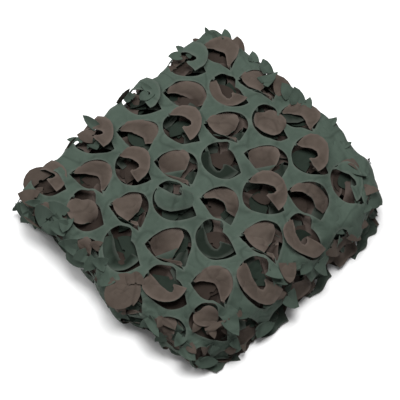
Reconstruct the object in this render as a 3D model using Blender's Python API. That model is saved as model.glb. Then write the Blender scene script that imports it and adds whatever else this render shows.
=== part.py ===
"""A camouflage net, folded back and forth into a flat, nearly square pad.

The net is one sheet of thin cloth, cut through with half-round slits in a staggered pattern. Each slit leaves
an opening and a flap that hangs on by a narrow neck. The sheet is folded in layers along Y: layer 0 lies flat
on the surface, and every next layer runs back over the last, joined to it by a rounded fold at one end.

Metres, +Z up. +X is along the folds, +Y is across them. The origin is under the middle of the pad, on the
surface that it lies on.
"""

import math

import bmesh
import bpy
from mathutils import Vector
from mathutils.geometry import delaunay_2d_cdt

# The pad
HALF_WIDTH = 0.175
HALF_DEPTH = 0.184
LAYER_COUNT = 8
CLOTH = 0.0015
CREST_HEIGHT = 0.088
EDGE_HEIGHT = 0.066
NEAR_CORNER_HEIGHT = 0.048

# The cloth's unevenness: heights in metres, and waves in radians for each metre
RIPPLE = 0.0012
RIPPLE_WAVE_X = 23.0
RIPPLE_WAVE_Y = 31.0
SIDE_WANDER = 0.0012
SIDE_WAVE = 37.0
FOLD_WANDER = 0.0010
FOLD_WAVE = 19.0
END_WANDER = 0.002
END_WAVE = 17.0

# The cut figures: rows of down-cuts, round on their -Y side, and rows of up-cuts, round on their +Y side
FIGURE_RADIUS = 0.027
COLUMNS = 4
ROWS = 4
PITCH_X = 0.0742
PITCH_Y = 0.0875
FIRST_DOWN_X = -0.081
FIRST_DOWN_Y = -0.141
FIRST_UP_X = -0.114
FIRST_UP_Y = -0.104
HIDDEN_SCALE = 0.90
TIP_ANGLE = -6.0
TIP_REACH = 1.12
DOWN_COVER = 0.78
UP_COVER = 0.66

# The flaps
NECK_WIDTH = 0.006
ROOT_WIDTH = 0.005
TWIST_LENGTH = 0.009
FLAP_RADIUS = 0.0255
FLAP_MIDDLE = 0.028
ARC_START = 150.0
ARC_END = -5.0
SIDES_FLAP_ARC = 6

# The folds
FOLD_STEPS = 4
FOLD_BULGE = 1.5
FOLD_INSET = 0.0085
FREE_END = 0.006
END_POINTS = 9
SIDE_POINTS = 8

# Sides of a hole, coarser where the layer is hidden: the top layer, the next one, and all others
SIDES_OF_A_HOLE = (12, 8, 6)

NET_GREEN = (0.045, 0.085, 0.060, 1.0)

# Each layer from the bottom up: its share of the pad's height, how far its figures are shifted along X and Y,
# and how far its left and right cut edges stand in from the pad's sides (metres)
LAYERS = (
    # share, shift_x, shift_y, inset_left, inset_right
    (0.000, -0.003, 0.000, 0.005, 0.002),
    (0.140, -0.012, -0.001, 0.002, 0.006),
    (0.285, -0.004, 0.001, 0.007, 0.001),
    (0.425, -0.014, 0.001, 0.003, 0.005),
    (0.565, -0.002, -0.001, 0.006, 0.002),
    (0.705, -0.010, 0.001, 0.001, 0.004),
    (0.850, -0.004, -0.001, 0.005, 0.002),
    (1.000, 0.000, 0.000, 0.002, 0.000),
)

# How far each fold, from the bottom up, stands back from the pad's side (metres)
FOLD_SETBACKS = (0.002, 0.000, 0.001, 0.004, 0.002, 0.001, 0.000)

# How far the pad's sides swell past its half width or half depth: (place along the side, swell) in metres
FRONT_SWELL = (
    (-0.170, -0.004),
    (-0.106, -0.007),
    (-0.050, 0.000),
    (0.020, 0.008),
    (0.083, 0.000),
    (0.160, -0.014),
)
BACK_SWELL = (
    (-0.170, -0.002),
    (-0.100, 0.003),
    (-0.020, 0.001),
    (0.043, 0.004),
    (0.110, -0.003),
    (0.170, -0.012),
)
LEFT_SWELL = (
    (-0.180, -0.005),
    (-0.040, 0.002),
    (0.050, 0.008),
    (0.090, 0.005),
    (0.180, 0.006),
)
RIGHT_SWELL = (
    (-0.180, -0.015),
    (-0.120, 0.003),
    (-0.040, 0.004),
    (0.037, 0.001),
    (0.090, 0.004),
    (0.180, -0.004),
)

# The flaps of the top layer. kind is down or up, then the figure's column and row. neck is where the flap hangs
# on, and heading is the way that it leaves there (degrees from +X, the round side taken as +Y). lift is how high
# it then lies over the sheet, and run is how far it follows the sheet before it bends (metres). pitch is how far
# it then points up, and roll is how far its round side is lifted about its own length: 180 lies turned over.
FLAPS = (
    # kind, column, row, neck, heading, lift, run, pitch, roll
    ("down", 0, 0, 192, 8, 0.000, 0.012, -6, -9),
    ("down", 1, 0, 80, 88, 0.005, 0.022, -72, 0),
    ("down", 2, 0, 60, 86, 0.005, 0.028, -66, 8),
    ("down", 3, 0, 192, 16, 0.000, 0.012, 5, 32),
    ("down", 0, 1, 192, 14, 0.004, 0.060, 0, 172),
    ("down", 1, 1, 192, 12, 0.000, 0.012, 3, 20),
    ("down", 2, 1, 192, 10, 0.000, 0.012, -6, -12),
    ("down", 3, 1, 12, 4, 0.005, 0.015, -72, 0),
    ("down", 0, 2, 192, 8, 0.004, 0.060, 0, 180),
    ("down", 1, 2, 192, 8, 0.000, 0.012, -7, -12),
    ("down", 2, 2, 192, 6, 0.004, 0.060, 0, 180),
    ("down", 3, 2, 192, 10, 0.000, 0.015, 4, 26),
    ("down", 0, 3, 192, 8, 0.000, 0.012, -6, -9),
    ("down", 1, 3, 192, 8, 0.000, 0.012, -6, -12),
    ("down", 2, 3, 192, 8, 0.004, 0.060, 0, 180),
    ("down", 3, 3, 192, 4, 0.004, 0.020, 4, 8),
    ("up", 1, 0, 192, 6, 0.000, 0.012, -6, -12),
    ("up", 0, 1, 178, 180, 0.006, 0.030, 40, 0),
    ("up", 1, 1, 192, 6, 0.000, 0.012, -7, -12),
    ("up", 2, 1, 192, 8, 0.000, 0.012, -6, -12),
    ("up", 0, 2, 192, 8, 0.000, 0.012, 8, 34),
    ("up", 1, 2, 192, 8, 0.000, 0.012, -7, -12),
    ("up", 2, 2, 192, 8, 0.000, 0.012, -6, -12),
    ("up", 3, 2, 192, 12, 0.000, 0.012, 4, 22),
    ("up", 0, 3, 150, 152, 0.006, 0.016, 8, 0),
    ("up", 1, 3, 192, 8, 0.000, 0.012, -6, -12),
    ("up", 2, 3, 192, 10, 0.000, 0.012, 8, 30),
)

# The notch in a flap's straight side, where the leaf of the sheet lay: along and out, in flap radii
NOTCH = ((1.16, 0.10), (1.19, 0.68), (0.66, 0.69), (0.50, 0.16))


def main():
    clear_scene()
    net = build_net()
    net.data.materials.append(net_material())


def clear_scene():
    for item in list(bpy.data.objects):
        bpy.data.objects.remove(item, do_unlink=True)


def net_material():
    material = bpy.data.materials.new("net_cloth")
    material.use_nodes = True
    shader = material.node_tree.nodes["Principled BSDF"]
    shader.inputs["Base Color"].default_value = NET_GREEN
    shader.inputs["Roughness"].default_value = 0.85
    shader.inputs["Metallic"].default_value = 0.0
    return material


def smooth(value, low, high):
    """0 below low, 1 above high, and a soft step between."""
    share = min(1.0, max(0.0, (value - low) / (high - low)))
    return share * share * (3.0 - 2.0 * share)


def along_table(table, at):
    """The value of a table of (place, value) rows at a place between them."""
    if at <= table[0][0]:
        return table[0][1]
    for (start, low), (end, high) in zip(table, table[1:]):
        if at <= end:
            return low + (high - low) * smooth(at, start, end)
    return table[-1][1]


def swell(x, y):
    """The pad's uneven outline: how a point of the plain rectangle moves, most near the sides."""
    across = min(1.0, abs(x) / HALF_WIDTH) ** 3
    along = min(1.0, abs(y) / HALF_DEPTH) ** 3
    side_x = math.copysign(1.0, x) * along_table(RIGHT_SWELL if x > 0 else LEFT_SWELL, y)
    side_y = math.copysign(1.0, y) * along_table(BACK_SWELL if y > 0 else FRONT_SWELL, x)
    return x + across * side_x, y + along * side_y


def stack_height(x, y):
    """Height of the top layer: a crest in the middle, lower sides, and the lowest corner at +X, -Y."""
    across = x / HALF_WIDTH
    along = y / HALF_DEPTH
    crown = (1.0 - min(1.0, abs(across)) ** 3) * (1.0 - min(1.0, abs(along)) ** 3)
    corner = smooth(across - along, 0.7, 2.0)
    edge = EDGE_HEIGHT + (NEAR_CORNER_HEIGHT - EDGE_HEIGHT) * corner
    return edge + (CREST_HEIGHT - edge) * crown


def layer_height(layer, x, y):
    """Middle of the cloth in one layer. The bottom layer is flat on the surface."""
    share = LAYERS[layer][0]
    wave = math.sin(RIPPLE_WAVE_X * x + 1.9 * layer) * math.cos(RIPPLE_WAVE_Y * y - 2.3 * layer)
    rise = share * (stack_height(x, y) - CLOTH)
    return CLOTH / 2 + rise + RIPPLE * wave * min(1.0, 3.0 * share)


def place(layer, x, y, lift=0.0):
    """The point of a layer, in space, that lies over x, y of the plain rectangle."""
    moved_x, moved_y = swell(x, y)
    return Vector((moved_x, moved_y, layer_height(layer, x, y) + lift))


def fold_line(fold, x):
    """Where the flat of the cloth ends and a fold begins, as a distance from the pad's middle."""
    wave = FOLD_WANDER * math.sin(FOLD_WAVE * x + 2.7 * fold)
    wave += FOLD_WANDER / 2 * math.sin(2.2 * FOLD_WAVE * x + 1.3 * fold)
    return HALF_DEPTH - FOLD_INSET - FOLD_SETBACKS[fold] - abs(wave)


def free_line(layer, x):
    """The cut end of the sheet, at the bottom and at the top of the pad."""
    return HALF_DEPTH + FREE_END - END_WANDER * abs(math.sin(END_WAVE * x + layer))


def layer_end(layer, side, x):
    """Y of one end of a layer. side is -1 at the front and +1 at the back."""
    joins_up = side == (-1 if layer % 2 == 0 else 1)
    fold = layer if joins_up else layer - 1
    if 0 <= fold < LAYER_COUNT - 1:
        return side * fold_line(fold, x)
    return side * free_line(layer, x)


def side_edge(layer, side, y):
    """X of one cut edge of a layer at y. side is -1 or +1."""
    inset = LAYERS[layer][3 if side < 0 else 4]
    wave = SIDE_WANDER * math.sin(SIDE_WAVE * y + 1.7 * layer + side)
    return side * (HALF_WIDTH - inset - abs(wave))


def end_points(layer, side):
    """One end of a layer's outline, from -X to +X."""
    near = side_edge(layer, -1, side * HALF_DEPTH)
    far = side_edge(layer, 1, side * HALF_DEPTH)
    shares = [step / (END_POINTS - 1) for step in range(END_POINTS)]
    places = [near + (far - near) * share for share in shares]
    return [Vector((x, layer_end(layer, side, x))) for x in places]


def side_points(layer, side, start, end):
    """The points of one cut edge, without its two corners."""
    shares = [step / (SIDE_POINTS - 1) for step in range(1, SIDE_POINTS - 1)]
    places = [start + (end - start) * share for share in shares]
    return [Vector((side_edge(layer, side, y), y)) for y in places]


def lies_reversed(layer):
    """Whether a layer lies the other way up than the top one."""
    return (LAYER_COUNT - 1 - layer) % 2 == 1


def figure_centre(kind, column, row, layer):
    """The middle of one figure. Layers that lie the other way up have their figures between the others'."""
    x = (FIRST_UP_X if kind == "up" else FIRST_DOWN_X) + column * PITCH_X + LAYERS[layer][1]
    y = (FIRST_UP_Y if kind == "up" else FIRST_DOWN_Y) + row * PITCH_Y + LAYERS[layer][2]
    if layer < LAYER_COUNT - 1:
        y *= HIDDEN_SCALE
    return Vector((x, -y if lies_reversed(layer) else y))


def round_side(kind, layer):
    """+1 where a figure is round on its +Y side, -1 where it is round on its -Y side."""
    side = 1.0 if kind == "up" else -1.0
    return -side if lies_reversed(layer) else side


def rim_reach(angle, cover):
    """Distance from a figure's middle to its rim, in figure radii. The round side is at 90 degrees.

    The other side is the leaf of cloth between two rows, which covers part of the circle.
    """
    angle = (angle + 180.0) % 360.0 - 180.0
    if abs(angle - TIP_ANGLE) < 1.0:
        return TIP_REACH
    closed = smooth(-angle, 6.0, 50.0) * smooth(angle + 165.0, 0.0, 30.0)
    return 1.0 - (1.0 - cover) * closed


def from_figure(centre, side, along, out):
    """A flat point, from its place along +X and out towards the figure's round side."""
    return centre + Vector((along, side * out))


def hole_rim(centre, side, radius, cover, sides, neck=None):
    """The rim of one hole. With a neck angle, its first two points are the ends of the flap's neck."""
    half = math.degrees(NECK_WIDTH / 2 / FIGURE_RADIUS)
    angles = [TIP_ANGLE + 360.0 * step / sides for step in range(sides)]
    if neck is not None:
        angles = [angle for angle in angles if abs(angle - neck) > 2.0 * half]
        after = sorted(angle for angle in angles if angle > neck)
        before = sorted(angle for angle in angles if angle < neck)
        angles = [neck - half, neck + half] + after + before
    rim = []
    for angle in angles:
        reach = radius * rim_reach(angle, cover)
        turn = math.radians(angle)
        rim.append(from_figure(centre, side, reach * math.cos(turn), reach * math.sin(turn)))
    return rim


def inside(point, loop):
    """Whether a flat point lies inside a closed loop of points."""
    crossed = False
    for start, end in zip(loop, loop[1:] + loop[:1]):
        if (start.y > point.y) != (end.y > point.y):
            at = start.x + (point.y - start.y) / (end.y - start.y) * (end.x - start.x)
            if point.x < at:
                crossed = not crossed
    return crossed


def triangulate(outline, holes):
    """All points of the loops, and the triangles between the outline and the holes, as indices into them."""
    points, edges = [], []
    for loop in [outline] + holes:
        first = len(points)
        points.extend(loop)
        edges.extend((first + step, first + (step + 1) % len(loop)) for step in range(len(loop)))
    made = delaunay_2d_cdt(points, edges, [], 0, 1e-7)
    places, faces, sources = made[0], made[2], made[3]
    kept = []
    for face in faces:
        middle = sum((places[index] for index in face), Vector((0.0, 0.0))) / len(face)
        if inside(middle, outline) and not any(inside(middle, hole) for hole in holes):
            kept.append([sources[index][0] for index in face])
    return points, kept


def build_net():
    mesh = bmesh.new()
    ends = [add_layer(mesh, layer) for layer in range(LAYER_COUNT)]
    for fold in range(LAYER_COUNT - 1):
        side = -1 if fold % 2 == 0 else 1
        add_fold(mesh, ends[fold][side], ends[fold + 1][side], side)
    bmesh.ops.recalc_face_normals(mesh, faces=mesh.faces)
    data = bpy.data.meshes.new("net_cloth")
    mesh.to_mesh(data)
    mesh.free()
    net = bpy.data.objects.new("net_cloth", data)
    bpy.context.scene.collection.objects.link(net)
    thicken(net)
    rest_on_surface(net)
    return net


def layer_holes(layer):
    """The holes of one layer. Each comes as its rim, its round side and its row of FLAPS, or None."""
    depth = LAYER_COUNT - 1 - layer
    sides = SIDES_OF_A_HOLE[min(depth, len(SIDES_OF_A_HOLE) - 1)]
    radius = FIGURE_RADIUS * (HIDDEN_SCALE if depth else 1.0)
    flaps = {flap[:3]: flap[3:] for flap in FLAPS} if depth == 0 else {}
    holes = []
    for kind, cover in (("down", DOWN_COVER), ("up", UP_COVER)):
        side = round_side(kind, layer)
        for row in range(ROWS):
            for column in range(COLUMNS):
                flap = flaps.get((kind, column, row))
                centre = figure_centre(kind, column, row, layer)
                neck = flap[0] if flap else None
                holes.append((hole_rim(centre, side, radius, cover, sides, neck), side, flap))
    return holes


def add_layer(mesh, layer):
    """One layer with its holes and flaps. Returns its front and back vertices, each from -X to +X."""
    front, back = end_points(layer, -1), end_points(layer, 1)
    right = side_points(layer, 1, front[-1].y, back[-1].y)
    left = side_points(layer, -1, back[0].y, front[0].y)
    outline = front + right + back[::-1] + left
    holes = layer_holes(layer)
    points, faces = triangulate(outline, [rim for rim, _, _ in holes])
    verts = [mesh.verts.new(place(layer, point.x, point.y)) for point in points]
    for face in faces:
        mesh.faces.new([verts[index] for index in face])
    first = len(outline)
    for rim, side, flap in holes:
        if flap:
            root = (points[first] + points[first + 1]) / 2
            add_flap(mesh, layer, verts[first], verts[first + 1], root, side, flap)
        first += len(rim)
    first_back = len(front) + len(right)
    return {-1: verts[:len(front)], 1: verts[first_back:first_back + len(back)][::-1]}


def flap_outline():
    """The flat outline of a flap past its neck: along from the neck, and out towards its round side.

    It is half a disc with a notch, where the leaf of the sheet reached into it before it was cut free.
    """
    outline = [(TWIST_LENGTH, ROOT_WIDTH / 2)]
    for step in range(SIDES_FLAP_ARC):
        turn = math.radians(ARC_START + (ARC_END - ARC_START) * step / (SIDES_FLAP_ARC - 1))
        outline.append((FLAP_MIDDLE + FLAP_RADIUS * math.cos(turn), FLAP_RADIUS * math.sin(turn)))
    outline.extend((along * FLAP_RADIUS, out * FLAP_RADIUS) for along, out in NOTCH)
    outline.append((TWIST_LENGTH, -ROOT_WIDTH / 2))
    return [Vector(point) for point in outline]


def flap_place(layer, root, side, along, out, flap):
    """The point of a flap in space. root is the middle of its neck on the flat sheet."""
    _, heading, lift, run, pitch, roll = flap
    turned = math.radians(roll) * smooth(along, 0.0, TWIST_LENGTH)
    past = max(0.0, along - run)
    ahead = min(along, run) + past * math.cos(math.radians(pitch))
    rise = past * math.sin(math.radians(pitch)) + out * math.sin(turned)
    rise += lift * smooth(along, 0.0, TWIST_LENGTH / 2)
    aside = out * math.cos(turned)
    turn = math.radians(heading)
    flat_along = ahead * math.cos(turn) - aside * math.sin(turn)
    flat_out = ahead * math.sin(turn) + aside * math.cos(turn)
    flat = from_figure(root, side, flat_along, flat_out)
    return place(layer, flat.x, flat.y, rise)


def add_flap(mesh, layer, neck_start, neck_end, root, side, flap):
    """A flap that hangs on the rim of its hole by the neck's two vertices."""
    middle = [
        mesh.verts.new(flap_place(layer, root, side, TWIST_LENGTH / 2, out, flap))
        for out in (ROOT_WIDTH / 2, -ROOT_WIDTH / 2)
    ]
    outline = flap_outline()
    verts = [mesh.verts.new(flap_place(layer, root, side, point.x, point.y, flap)) for point in outline]
    mesh.faces.new((neck_start, neck_end, middle[1], middle[0]))
    mesh.faces.new((middle[0], middle[1], verts[-1], verts[0]))
    _, faces = triangulate(outline[::-1], [])
    for face in faces:
        mesh.faces.new([verts[len(verts) - 1 - index] for index in face])


def add_fold(mesh, lower, upper, side):
    """A rounded fold between two layers, as a bulging half turn."""
    rows = [lower]
    for step in range(1, FOLD_STEPS):
        turn = math.pi * step / FOLD_STEPS
        row = []
        for below, above in zip(lower, upper):
            radius = (above.co.z - below.co.z) / 2
            middle = (below.co + above.co) / 2
            out = side * FOLD_BULGE * radius * math.sin(turn)
            row.append(mesh.verts.new(middle + Vector((0.0, out, -radius * math.cos(turn)))))
        rows.append(row)
    rows.append(upper)
    for low, high in zip(rows, rows[1:]):
        for step in range(len(low) - 1):
            mesh.faces.new((low[step], low[step + 1], high[step + 1], high[step]))


def thicken(net):
    """Gives the cloth its thickness, both ways from its middle, and keeps the result as the mesh."""
    solid = net.modifiers.new("cloth", "SOLIDIFY")
    solid.thickness = CLOTH
    solid.offset = 0.0
    solid.use_rim = True
    bpy.context.view_layer.update()
    graph = bpy.context.evaluated_depsgraph_get()
    thick = bpy.data.meshes.new_from_object(net.evaluated_get(graph))
    net.modifiers.remove(solid)
    net.data = thick


def rest_on_surface(net):
    """Moves the net so that its middle is over the origin and its underside is flat on the surface."""
    corners = [vert.co for vert in net.data.vertices]
    middle_x = (min(co.x for co in corners) + max(co.x for co in corners)) / 2
    middle_y = (min(co.y for co in corners) + max(co.y for co in corners)) / 2
    for vert in net.data.vertices:
        vert.co.x -= middle_x
        vert.co.y -= middle_y
        if vert.co.z < CLOTH / 4:
            vert.co.z = 0.0


main()
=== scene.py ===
"""A camouflage net folded into a pad: its visible cloth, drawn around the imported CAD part.

The net is one thin sheet, green on one face and brown on the other, cut through in staggered rows. Flat places on
it are (x, v): x runs along the folds, and v follows the cloth from the free edge of the top layer at +Y, over the
top, round the first fold at -Y and back and forth down to the layer on the floor. On the top layer v is Y.
"""

import logging
import math
from collections.abc import Sequence
from dataclasses import dataclass, field
from enum import Enum
from functools import partial

import bmesh
import bpy
import numpy as np
from mathutils import Euler, Matrix, Vector
from mathutils.geometry import delaunay_2d_cdt


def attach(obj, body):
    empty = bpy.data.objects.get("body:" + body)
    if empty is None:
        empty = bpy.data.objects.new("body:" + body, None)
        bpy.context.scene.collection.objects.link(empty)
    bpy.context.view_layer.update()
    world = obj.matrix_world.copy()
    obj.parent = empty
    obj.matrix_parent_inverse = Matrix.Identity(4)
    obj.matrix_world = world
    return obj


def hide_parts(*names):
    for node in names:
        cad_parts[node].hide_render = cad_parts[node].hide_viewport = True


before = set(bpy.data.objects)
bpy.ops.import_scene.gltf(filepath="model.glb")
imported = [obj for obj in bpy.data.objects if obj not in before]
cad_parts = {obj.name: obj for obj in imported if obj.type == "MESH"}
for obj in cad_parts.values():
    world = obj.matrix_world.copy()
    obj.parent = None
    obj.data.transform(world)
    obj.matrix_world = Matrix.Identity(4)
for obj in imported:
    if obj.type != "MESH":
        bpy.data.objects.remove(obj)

LOG = logging.getLogger("camouflage_net")
MM = 0.001

# The middle of the pad's box in the coordinates used here: the CAD part has its origin there
PAD_MIDDLE = (0.003077, -0.004751)

# The UV map that holds each point's flat place
FLAT_MAP = "flat"
# The angle between two faces, in degrees, from which their edge is drawn sharp
SHARP_ANGLE = 48.0
# How the seeded waves are made: how many, the spread of their lengths, and what brings their sum to their height
WAVE_COUNT = 7
WAVE_SPREAD = (0.65, 1.6)
WAVE_SUM = 2.6
# Cloth deeper than SUNK_FROM in a cut gets painted shade, the full amount SUNK_BY further down
SUNK_FROM = 0.0035
SUNK_BY = 0.008

# The rim of one cut, as (angle, reach in mm) round its middle. 90 degrees is +Y on the top layer
DOWN_RIM = (
    (2, 34), (10, 27.5), (22, 22), (40, 18), (66, 15.5), (92, 14), (100, 18), (108, 23.5), (118, 26.5),
    (133, 26.5), (150, 29), (165, 28.5), (187, 27), (210, 26.5), (238, 26), (270, 27), (305, 29),
    (337, 31), (350, 32.5), (362, 34),
)
UP_RIM = (
    (-15, 34), (-27, 24), (-38, 19.5), (-51, 19.5), (-60, 19), (-86, 18), (-106, 18), (-126, 20), (-138, 23.5),
    (-147, 28), (-166, 24.5), (-194, 23), (-218, 24.5), (-242, 27), (-272, 30), (-303, 29), (-344, 27.5),
    (-360, 30), (-375, 35),
)
# The angles of the rims' sharp corners, and of the necks that the flaps hang on
DOWN_CORNERS = (2.0, 92.0)
UP_CORNERS = (345.0, 309.0, 213.0)
DOWN_NECKS = (181.0,)
UP_NECKS = (205.0, 350.0)

# The flap of a down-cut, turned over on its neck: inner angle and reach, outer angle and reach (degrees, mm)
TURNED_ROWS = (
    (183, 23, 172, 25.5), (172, 14.5, 158, 28.5), (141, 10.5, 135, 30.5), (100, 8.5, 108, 30.5), (70, 11, 80, 29),
    (45, 13, 51, 26.5), (10, 8.5, 28, 26.5), (-12, 5, 8, 27), (-30, 5, -8, 27.5), (-45, 6, -20, 28),
)
# The ribbon of an up-cut, which hangs on both tips of its hole
RIBBON_ROWS = (
    (205, 21.5, 196, 23.5), (188, 13, 176, 24), (163, 7, 150, 25.2), (122, 5, 120, 28), (84, 6, 92, 30.6),
    (52, 8, 62, 30), (26, 10.5, 35, 28.6), (6, 15, 14, 27), (-8, 21, -2, 26.5), (-13, 25, -5, 28),
)
# A ribbon that has drawn in to a narrow waist between its tips
WAIST_ROWS = (
    (205, 22, 196, 24), (220, 19, 178, 24.6), (236, 16.5, 154, 25.2), (255, 15, 132, 27), (275, 14, 110, 29.4),
    (291, 14, 88, 25), (306, 15, 56, 14), (320, 17, 14, 12), (335, 20.5, 357, 19.5), (345, 25.5, 353, 26.5),
)
# A flap that has kept nearly the whole disc of its cut
DISC_ROWS = (
    (184, 22, 174, 25), (204, 18, 160, 25), (222, 19, 135, 26), (240, 22, 112, 26.5), (262, 24.5, 90, 26.5),
    (285, 25.5, 68, 26.5), (304, 26, 48, 26.5), (325, 26, 28, 26.5), (345, 25, 8, 25),
)


class CutKind(Enum):
    """The two kinds of cut, which stand in rows of their own."""

    DOWN = "down"
    UP = "up"


class FlapShape(Enum):
    """The outline of a flap."""

    CRESCENT = "crescent"
    RIBBON = "ribbon"
    STRIP = "strip"
    DISC = "disc"
    WAIST = "waist"


class FlapWay(Enum):
    """How a flap lies: as it was cut, twisted half a turn on its neck, turned over, or turned over and twisted."""

    AS_CUT = "as_cut"
    TWISTED = "twisted"
    TURNED = "turned"
    SWUNG = "swung"


def smooth_step(value: np.ndarray, low: float | np.ndarray, high: float | np.ndarray) -> np.ndarray:
    """Gives 0 below low, 1 above high and a soft step between."""
    share = np.clip((value - low) / (high - low), 0.0, 1.0)
    return share * share * (3.0 - 2.0 * share)


def full_turn(angle: float) -> float:
    """Brings an angle between 0 and 360 degrees, to a thousandth."""
    return round(angle % 360.0, 3)


def apart(first: float, second: float) -> float:
    """Gives how far two directions are apart, in degrees."""
    return abs((first - second + 180.0) % 360.0 - 180.0)


def polar(angle: np.ndarray, reach: np.ndarray) -> np.ndarray:
    """Gives places from their angles in degrees and their reaches in mm."""
    return MM * np.stack([reach * np.cos(np.radians(angle)), reach * np.sin(np.radians(angle))], 1)


def table_value(table: Sequence[tuple[float, float]], place: np.ndarray) -> np.ndarray:
    """Reads a table of (place, value) rows at places between them.

    Args:
        table: The rows, in order of their places.
        place: Where to read it.

    Returns:
        The values, held at the ends and eased between the rows.
    """
    places = np.array([row[0] for row in table])
    values = np.array([row[1] for row in table])
    index = np.clip(np.searchsorted(places, place) - 1, 0, len(places) - 2)
    share = smooth_step(place, places[index], places[index + 1])
    return values[index] + (values[index + 1] - values[index]) * share


def add_object(name: str, data: bpy.types.ID) -> bpy.types.Object:
    """Makes an object of some data and links it to the scene.

    Args:
        name: The object's name.
        data: Its mesh, light or camera.

    Returns:
        The object.
    """
    made = bpy.data.objects.new(name, data)
    bpy.context.scene.collection.objects.link(made)
    return made


def keep_modifier(piece: bpy.types.Object, modifier: bpy.types.Modifier) -> bpy.types.Mesh:
    """Makes a modifier's result the piece's own mesh, and takes the modifier off.

    Args:
        piece: The piece that carries it.
        modifier: Its only modifier.

    Returns:
        The piece's new mesh.
    """
    bpy.context.view_layer.update()
    graph = bpy.context.evaluated_depsgraph_get()
    made = bpy.data.meshes.new_from_object(piece.evaluated_get(graph), preserve_all_data_layers=True, depsgraph=graph)
    piece.modifiers.remove(modifier)
    piece.data = made
    return made


def write_values(data: bpy.types.Mesh, name: str, values: Sequence[float]) -> None:
    """Writes an attribute with one value for each point."""
    data.attributes.new(name, "FLOAT", "POINT").data.foreach_set("value", np.array(values, np.float32))


def write_flat_map(data: bpy.types.Mesh, places: np.ndarray) -> None:
    """Writes the UV map that the finishes follow, from one flat place for each point.

    Args:
        data: The mesh that gets it.
        places: The flat place of each point.
    """
    flat = data.uv_layers.new(name=FLAT_MAP)
    corners = np.zeros(len(data.loops), int)
    data.loops.foreach_get("vertex_index", corners)
    flat.data.foreach_set("uv", places[corners].astype(np.float32).ravel())


def math_node(
    tree: bpy.types.NodeTree, operation: str, first: object, second: object = None
) -> bpy.types.NodeSocket:
    """Adds a Math node to a tree.

    Args:
        tree: Where it goes.
        operation: What it does.
        first: Its first socket or number.
        second: Its second one, if it takes two.

    Returns:
        Its result.
    """
    node = tree.nodes.new("ShaderNodeMath")
    node.operation = operation
    for socket, value in zip(node.inputs, (first, second)):
        if isinstance(value, bpy.types.NodeSocket):
            tree.links.new(value, socket)
        elif value is not None:
            socket.default_value = value
    return node.outputs[0]


@dataclass(frozen=True)
class Unevenness:
    """Soft waves over the flat cloth, from a few seeded directions.

    Attributes:
        height: About how far the waves go each way, in metres.
        length: Their middle wavelength, in metres.
        seed: Fixes their directions and phases.
    """

    height: float
    length: float
    seed: int

    def at(self, x: np.ndarray, v: np.ndarray) -> np.ndarray:
        """Gives the waves' height at flat places.

        Args:
            x: Places along the folds.
            v: Places along the cloth.

        Returns:
            The heights in metres.
        """
        rng = np.random.default_rng(self.seed)
        total = np.zeros(np.shape(x))
        for _ in range(WAVE_COUNT):
            turn, phase = rng.uniform(0.0, 2.0 * math.pi, 2)
            wave = 2.0 * math.pi / (self.length * rng.uniform(*WAVE_SPREAD))
            total = total + np.sin(wave * (x * math.cos(turn) + v * math.sin(turn)) + phase)
        return self.height * total / WAVE_SUM


@dataclass(frozen=True)
class PadForm:
    """The outer form of the folded pad, the same as the CAD part's.

    Attributes:
        half_width: Half the pad along the folds.
        half_depth: Half the pad across the folds.
        crest: Height of the top in the middle.
        edge: Height of the top near the sides.
        near_corner: Height of the top at the corner +X, -Y.
        corner_falls: Where the top starts and ends its fall to that corner, as across less along.
        front_swell: How far the side at -Y stands off the plain rectangle, as (x, shift) rows.
        back_swell: The same at +Y.
        left_swell: The same at -X, as (y, shift) rows.
        right_swell: The same at +X.
    """

    half_width: float = 0.175
    half_depth: float = 0.184
    crest: float = 0.088
    edge: float = 0.066
    near_corner: float = 0.048
    corner_falls: tuple[float, float] = (0.7, 2.0)
    front_swell: tuple[tuple[float, float], ...] = (
        (-0.170, -0.009), (-0.106, -0.012), (-0.050, -0.007), (0.035, 0.004), (0.083, -0.008), (0.160, -0.024),
    )
    back_swell: tuple[tuple[float, float], ...] = (
        (-0.170, 0.005), (-0.100, 0.003), (-0.020, 0.001), (0.043, 0.004), (0.110, -0.013), (0.170, -0.036),
    )
    left_swell: tuple[tuple[float, float], ...] = (
        (-0.180, -0.005), (-0.040, 0.002), (0.050, 0.008), (0.090, 0.005), (0.180, 0.006),
    )
    right_swell: tuple[tuple[float, float], ...] = (
        (-0.180, -0.022), (-0.120, -0.003), (-0.040, 0.000), (0.037, -0.001), (0.090, 0.002), (0.180, -0.010),
    )

    def swell(self, x: np.ndarray, y: np.ndarray) -> tuple[np.ndarray, np.ndarray]:
        """Moves places of the plain rectangle to the pad's uneven outline.

        Args:
            x: Places along the folds.
            y: Places across the folds.

        Returns:
            The moved x and y.
        """
        across = np.minimum(1.0, np.abs(x) / self.half_width) ** 3
        along = np.minimum(1.0, np.abs(y) / self.half_depth) ** 3
        side_x = np.where(x > 0, table_value(self.right_swell, y), table_value(self.left_swell, y))
        side_y = np.where(y > 0, table_value(self.back_swell, x), table_value(self.front_swell, x))
        return x + across * np.sign(x) * side_x, y + along * np.sign(y) * side_y

    def top(self, x: np.ndarray, y: np.ndarray) -> np.ndarray:
        """Gives the height of the top layer over places of the plain rectangle.

        Args:
            x: Places along the folds.
            y: Places across the folds.

        Returns:
            The heights.
        """
        across = x / self.half_width
        along = y / self.half_depth
        crown = (1.0 - np.minimum(1.0, np.abs(across)) ** 3) * (1.0 - np.minimum(1.0, np.abs(along)) ** 3)
        edge = self.edge + (self.near_corner - self.edge) * smooth_step(across - along, *self.corner_falls)
        return edge + (self.crest - edge) * crown


@dataclass(frozen=True)
class Stretch:
    """One stretch of the cloth's path: a layer, or the fold between two layers.

    Attributes:
        layer: The layer's number from the bottom, or the upper layer of the fold.
        is_fold: Whether it is a fold.
        start: Length of cloth before it.
        length: Its own length of cloth.
    """

    layer: int
    is_fold: bool
    start: float
    length: float


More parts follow.
